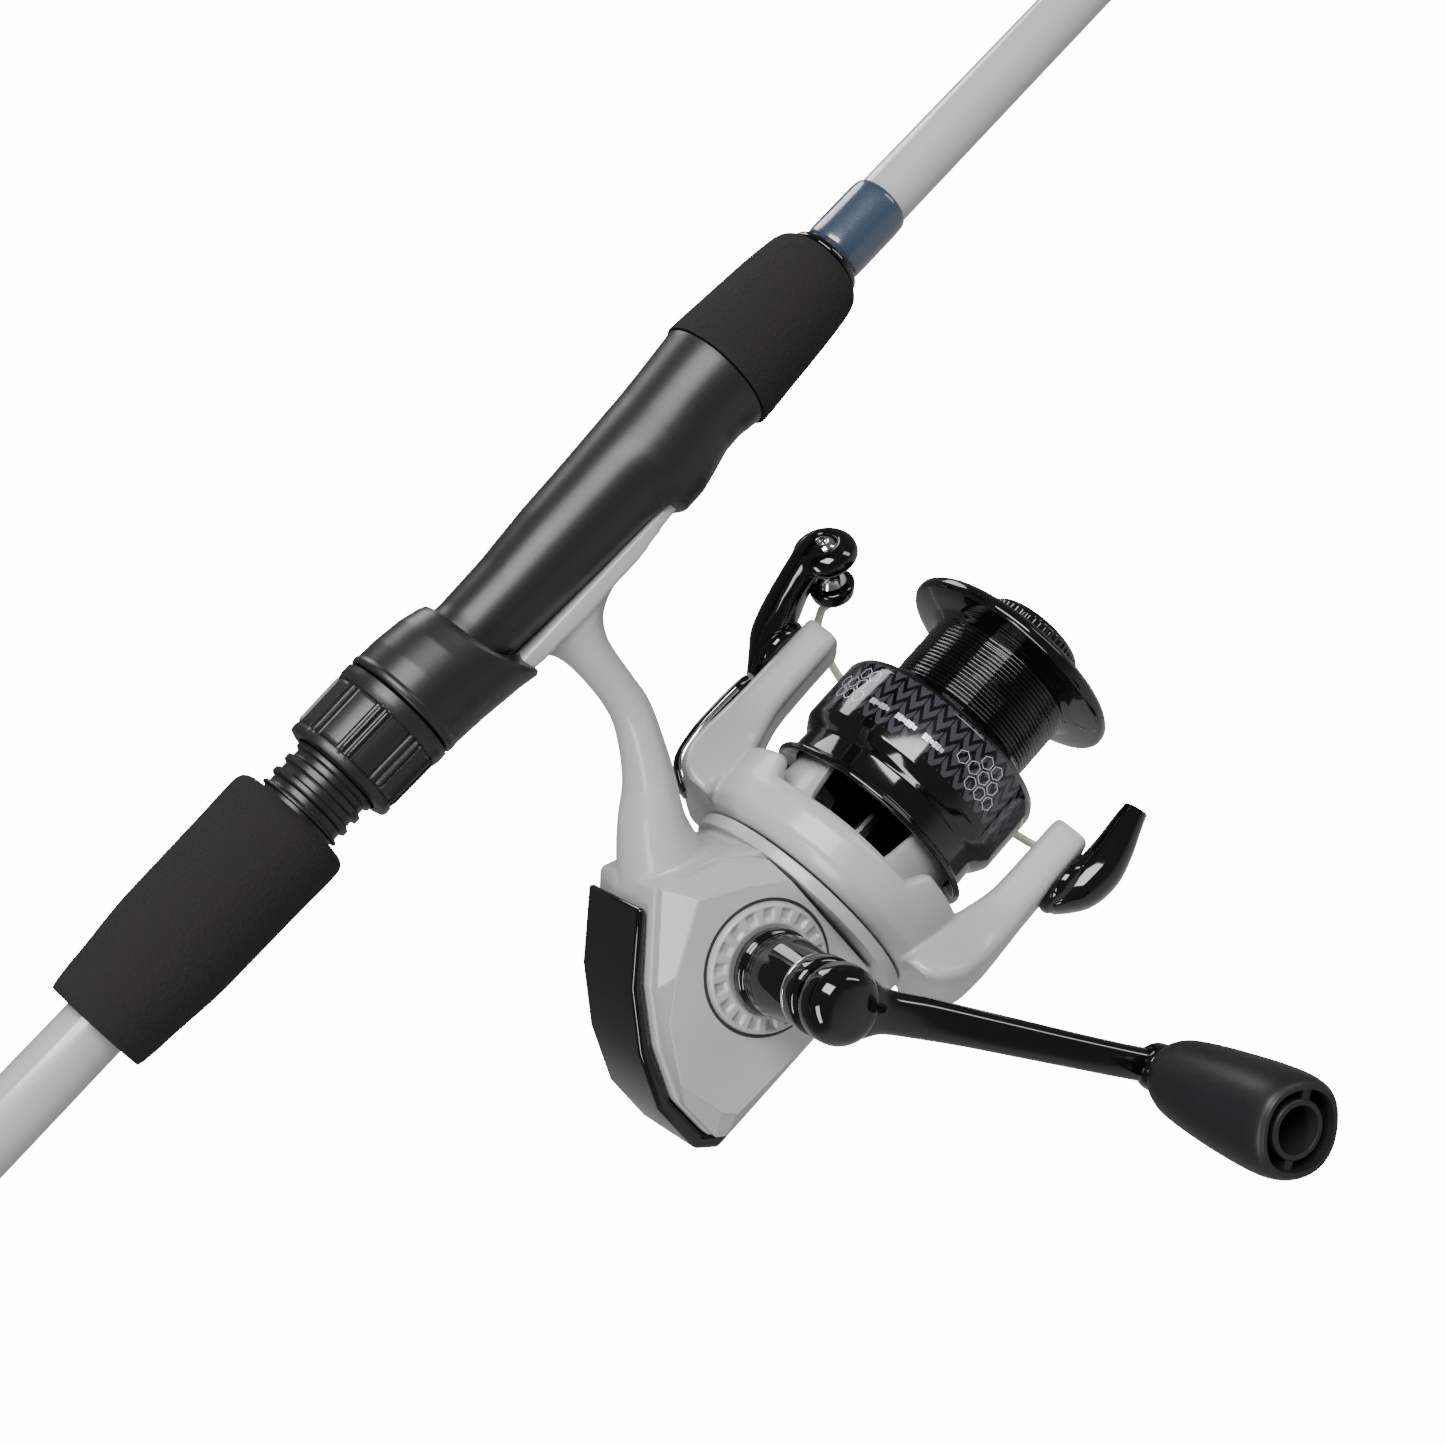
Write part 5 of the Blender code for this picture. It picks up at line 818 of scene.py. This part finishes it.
def build_handle(look):
    """Ribbed collar, cranked arm, moulded knob on its pin, and the cap on the far side."""
    collar = eased([(20.8, 1.95), (20.8, 7.6), (21.2, 8.5), (23.2, 8.6), (23.8, 7.6), (25.2, 7.5),
                    (26.0, 8.2), (29.0, 8.0), (36.6, 6.9), (37.6, 6.7), (38.2, 7.7), (41.3, 7.7),
                    (42.0, 6.8), (42.0, 0.0), (41.4, 0.0), (41.4, 1.95)], 0.5)
    piece("collar", [(turned(collar, CRANK, -Y, 96), True)], look["gloss"], "crank", ["handle_collar"])
    rim = eased([(36.9, 6.7), (36.9, 7.35), (37.6, 7.35), (37.6, 6.7)], 0.2)
    piece("collar_rim", [(turned(rim, CRANK, -Y, 96), True)], look["chrome"], "crank", ())
    rows = curve([(-0.02, 0.0, 6.2, 3.6), (0.07, 0.0, 6.0, 3.8), (0.15, 0.02, 4.3, 3.2),
                  (0.28, 0.08, 4.0, 3.1), (0.42, 0.24, 3.7, 3.0), (0.58, 0.48, 3.5, 2.9),
                  (0.74, 0.72, 3.3, 2.7), (0.88, 0.9, 3.2, 2.6), (0.98, 0.97, 3.2, 2.6)], 8)
    path = CRANK + REACH * (rows[:, 0, None] * CRANK_LENGTH) - Y * (46.5 + 17.0 * rows[:, 1, None])
    root = turned(eased([(42.3, 0.0), (42.3, 6.6), (44.2, 7.8), (48.0, 7.7), (50.6, 5.6), (51.1, 0.0)],
                        1.4), CRANK, -Y, 64)
    boss = turned(eased([(59.8, 0.0), (59.8, 3.0), (62.6, 4.7), (66.0, 4.7), (67.1, 3.6), (67.1, 0.0)],
                        0.9), KNOB, -Y, 64)
    piece("crank_arm", [(lofted(path, -Y, rows[:, 2], rows[:, 3], 2.5, 40), False), (root, False),
                        (boss, False)], look["gloss"], "crank", ["handle_arm"])
    outer = curve([(67.6, 4.6), (68.0, 5.9), (69.2, 6.7), (72.0, 7.7), (78.0, 8.7), (85.0, 9.5),
                   (93.0, 10.1), (99.0, 10.2), (102.4, 9.7), (103.6, 8.8)], 6)
    inside = [(103.5, 7.9), (94.5, 7.6), (94.5, 5.7), (102.6, 5.7), (103.0, 5.4), (103.0, 4.5), (92.6, 4.3),
              (92.6, 2.3), (67.6, 2.3)]
    profile = np.vstack([outer, eased(inside, 0.25, 3)])
    skin = turned(profile, KNOB, -Y, 120)
    angle = np.linspace(0.0, math.tau, 120, endpoint=False)
    flats = 1.0 - 0.045 * (1.0 - np.cos(angle * 4.0)) / 2.0
    grow = np.where(profile[:, 1] > 6.5, 1.0, 0.0) * np.clip((profile[:, 0] - 70.0) / 14.0, 0.0, 1.0)
    off = (skin - KNOB) * (X + Z)
    skin = skin + off * (grow[:, None] * (flats - 1.0)[None])[..., None]
    webs = []
    for sign in (1.0, -1.0):
        box = np.array([(-0.9, 5.2 * sign), (0.9, 5.2 * sign), (0.9, 8.2 * sign), (-0.9, 8.2 * sign)])
        webs.append((extruded(box, 94.0, 102.6, REACH, np.cross(REACH, Y), -Y, KNOB), False))
    piece("knob_shell", [(skin, True)] + webs, look["soft"], "knob", ["handle_knob"], 32.0)
    cap = eased([(17.7, 1.95), (17.7, 7.6), (22.4, 7.7), (25.2, 5.9), (25.9, 3.6), (25.9, 0.0), (24.5, 0.0),
                 (24.5, 1.95)], 0.9)
    piece("far_cap", [(turned(cap, CRANK, Y, 72), True)], look["gloss"], "crank", ["handle_cap"])


def dress_hidden_parts(look):
    """The working parts left as built get their finishes through their own slots."""
    chosen = {"steel": look["steel"], "brass": look["brass"], "zinc_alloy": look["zinc"],
              "felt": look["felt"], "chrome": look["chrome"], "black_gloss": look["gloss"],
              "grey_paint": look["paint"]}
    record = frame["record"]
    slots = {row["node"]: row["material_slot"] for row in record["subparts"]}
    for name, thing in frame["nodes"].items():
        if thing.hide_render or slots.get(name) not in chosen:
            continue
        thing.data.materials.clear()
        thing.data.materials.append(chosen[slots[name]])


# --- stage -------------------------------------------------------------------------------------------
def floor_finish():
    """A pale floor that is seen as clean white and lights the object no more than a plain floor does."""
    made = finish("floor", (0.4, 0.4, 0.4), 0.9, 0.0, 0.0, None, 0.0, 0.0)
    tree = made.node_tree
    shine = node(tree, "ShaderNodeEmission")
    shine.inputs["Strength"].default_value = WHITE
    path = node(tree, "ShaderNodeLightPath")
    mix = node(tree, "ShaderNodeMixShader")
    link(tree, path.outputs["Is Camera Ray"], mix.inputs[0])
    link(tree, tree.nodes["Principled BSDF"].outputs[0], mix.inputs[1])
    link(tree, shine.outputs[0], mix.inputs[2])
    link(tree, mix.outputs[0], tree.nodes["Material Output"].inputs["Surface"])
    return made


def build_stage(settings):
    """Pale floor well below the held rod, soft lights and the camera."""
    drop = settings.floor_drop
    floor_mesh = bpy.data.meshes.new("floor")
    side = 14.0
    floor_mesh.from_pydata([(-side, -side, -drop), (side, -side, -drop), (side, side, -drop),
                            (-side, side, -drop)], [], [(0, 1, 2, 3)])
    floor = bpy.data.objects.new("floor", floor_mesh)
    floor_mesh.materials.append(floor_finish())
    bpy.context.scene.collection.objects.link(floor)
    world = bpy.data.worlds.new("studio")
    world.use_nodes = True
    back = world.node_tree.nodes["Background"]
    back.inputs["Color"].default_value = (1.0, 1.0, 1.0, 1.0)
    tree = world.node_tree
    path = node(tree, "ShaderNodeLightPath")
    cut = maths(tree, "MULTIPLY", path.outputs["Is Glossy Ray"], settings.sky * 0.62)
    seen = maths(tree, "MULTIPLY", path.outputs["Is Camera Ray"], WHITE)
    link(tree, maths(tree, "ADD", maths(tree, "SUBTRACT", settings.sky, cut), seen),
         back.inputs["Strength"])
    bpy.context.scene.world = world
    lamps = (("key", (0.1, -0.7, 1.0), (0.0, 0.0, -0.06), 0.5, 0.9, 24.0),
             ("left", (-0.95, -0.45, 0.3), (0.0, 0.0, -0.06), 0.25, 0.8, 8.0),
             ("right", (0.95, -0.65, 0.1), (0.0, 0.0, -0.08), 0.2, 0.6, 3.0),
             ("rim", (0.5, 0.8, 0.7), (0.0, 0.0, -0.08), 0.4, 0.6, 5.0))
    for name, place, aim, size, tall, power in lamps:
        data = bpy.data.lights.new(name, "AREA")
        data.shape = "RECTANGLE"
        data.size = size
        data.size_y = tall
        data.energy = power
        lamp = bpy.data.objects.new(name, data)
        lamp.matrix_world = facing(place, aim)
        bpy.context.scene.collection.objects.link(lamp)
    data = bpy.data.cameras.new("view")
    data.sensor_width = 36.0
    data.lens = CAMERA_LENS
    data.clip_start = 0.02
    data.clip_end = 60.0
    camera = bpy.data.objects.new("view", data)
    right = CAMERA_RIGHT / np.linalg.norm(CAMERA_RIGHT)
    up = CAMERA_UP - right * (CAMERA_UP @ right)
    up /= np.linalg.norm(up)
    back_axis = np.cross(right, up)
    place = Matrix.Identity(4)
    for column, axis in enumerate((right, up, back_axis, CAMERA_AT)):
        for row in range(3):
            place[row][column] = axis[row]
    camera.matrix_world = place
    bpy.context.scene.collection.objects.link(camera)
    bpy.context.scene.camera = camera


def facing(place, aim):
    """A lamp's matrix: it looks from place to aim."""
    place, aim = np.array(place), np.array(aim)
    back = (place - aim) / np.linalg.norm(place - aim)
    right = np.cross(Z, back)
    right /= np.linalg.norm(right)
    up = np.cross(back, right)
    made = Matrix.Identity(4)
    for column, axis in enumerate((right, up, back, place)):
        for row in range(3):
            made[row][column] = axis[row]
    return made


# --- add-on ------------------------------------------------------------------------------------------
class RodSettings(bpy.types.PropertyGroup):
    """Sizes of the rod's trim."""
    check_radius: FloatProperty(name="Check radius", description="Radius of the winding check",
                                default=0.0066, unit="LENGTH", subtype="DISTANCE")
    thread_pitch: FloatProperty(name="Thread pitch", description="Pitch of the reel seat thread",
                                default=0.0031, precision=4, unit="LENGTH", subtype="DISTANCE")


class ReelSettings(bpy.types.PropertyGroup):
    """Sizes of the reel's details."""
    casting_passes: IntProperty(name="Fillet passes", description="How far cast edges are rounded",
                                default=5)
    wire_radius: FloatProperty(name="Wire radius", description="Radius of the bail wire", default=0.0009,
                               precision=4, unit="LENGTH", subtype="DISTANCE")
    arbor_grooves: IntProperty(name="Arbor grooves", description="Fine grooves round the arbor", default=17)
    cells_a: FloatProperty(name="First cells", description="Where the first printed cells start",
                           default=1.42, unit="ROTATION", subtype="ANGLE")
    cells_b: FloatProperty(name="Second cells", description="Where the second printed cells start",
                           default=-0.12, unit="ROTATION", subtype="ANGLE")


class StageSettings(bpy.types.PropertyGroup):
    """The studio."""
    floor_drop: FloatProperty(name="Floor drop", description="Floor below the rod axis", default=0.6,
                              unit="LENGTH", subtype="DISTANCE")
    sky: FloatProperty(name="Sky", description="Strength of the even light", default=0.34)


class RODREEL_OT_rod(bpy.types.Operator):
    """Build the blank, grips, trim and guides"""
    bl_idname = "rodreel.rod"
    bl_label = "Rod"

    def execute(self, context):
        build_rod(context.scene.rodreel_rod, looks())
        return {"FINISHED"}


class RODREEL_OT_seat(bpy.types.Operator):
    """Build the reel seat, hood and lock nut"""
    bl_idname = "rodreel.seat"
    bl_label = "Reel seat"

    def execute(self, context):
        build_seat(context.scene.rodreel_rod, looks())
        return {"FINISHED"}


class RODREEL_OT_body(bpy.types.Operator):
    """Build the gear case, cover and guard"""
    bl_idname = "rodreel.body"
    bl_label = "Gear case"

    def execute(self, context):
        build_body(context.scene.rodreel_reel, looks())
        return {"FINISHED"}


class RODREEL_OT_rotor(bpy.types.Operator):
    """Build the rotor and its trim"""
    bl_idname = "rodreel.rotor"
    bl_label = "Rotor"

    def execute(self, context):
        build_rotor(context.scene.rodreel_reel, looks())
        return {"FINISHED"}


class RODREEL_OT_bail(bpy.types.Operator):
    """Build the bail, roller and wire"""
    bl_idname = "rodreel.bail"
    bl_label = "Bail"

    def execute(self, context):
        build_bail(context.scene.rodreel_reel, looks())
        return {"FINISHED"}


class RODREEL_OT_spool(bpy.types.Operator):
    """Build the spool and drag knob"""
    bl_idname = "rodreel.spool"
    bl_label = "Spool"

    def execute(self, context):
        build_spool(context.scene.rodreel_reel, looks())
        return {"FINISHED"}


class RODREEL_OT_handle(bpy.types.Operator):
    """Build the collar, crank arm and knob"""
    bl_idname = "rodreel.handle"
    bl_label = "Handle"

    def execute(self, context):
        build_handle(looks())
        dress_hidden_parts(looks())
        return {"FINISHED"}


class RODREEL_OT_stage(bpy.types.Operator):
    """Set the floor, lights and camera"""
    bl_idname = "rodreel.stage"
    bl_label = "Stage"

    def execute(self, context):
        build_stage(context.scene.rodreel_stage)
        return {"FINISHED"}


STEPS = (RODREEL_OT_rod, RODREEL_OT_seat, RODREEL_OT_body, RODREEL_OT_rotor, RODREEL_OT_bail,
         RODREEL_OT_spool, RODREEL_OT_handle, RODREEL_OT_stage)


class RODREEL_PT_panel(bpy.types.Panel):
    """Buttons and sizes for the rod and reel"""
    bl_label = "Rod and reel"
    bl_idname = "RODREEL_PT_panel"
    bl_space_type = "VIEW_3D"
    bl_region_type = "UI"
    bl_category = "Rod and reel"

    def draw(self, context):
        for group in (context.scene.rodreel_rod, context.scene.rodreel_reel, context.scene.rodreel_stage):
            for name in group.__annotations__:
                self.layout.prop(group, name)
        for step in STEPS:
            self.layout.operator(step.bl_idname)


CLASSES = (RodSettings, ReelSettings, StageSettings, *STEPS, RODREEL_PT_panel)


def register():
    for cls in CLASSES:
        bpy.utils.register_class(cls)
    bpy.types.Scene.rodreel_rod = PointerProperty(type=RodSettings)
    bpy.types.Scene.rodreel_reel = PointerProperty(type=ReelSettings)
    bpy.types.Scene.rodreel_stage = PointerProperty(type=StageSettings)


def unregister():
    del bpy.types.Scene.rodreel_stage
    del bpy.types.Scene.rodreel_reel
    del bpy.types.Scene.rodreel_rod
    for cls in reversed(CLASSES):
        bpy.utils.unregister_class(cls)


def main():
    register()
    bpy.ops.rodreel.rod()
    bpy.ops.rodreel.seat()
    bpy.ops.rodreel.body()
    bpy.ops.rodreel.rotor()
    bpy.ops.rodreel.bail()
    bpy.ops.rodreel.spool()
    bpy.ops.rodreel.handle()
    bpy.ops.rodreel.stage()


if __name__ == "__main__":
    main()
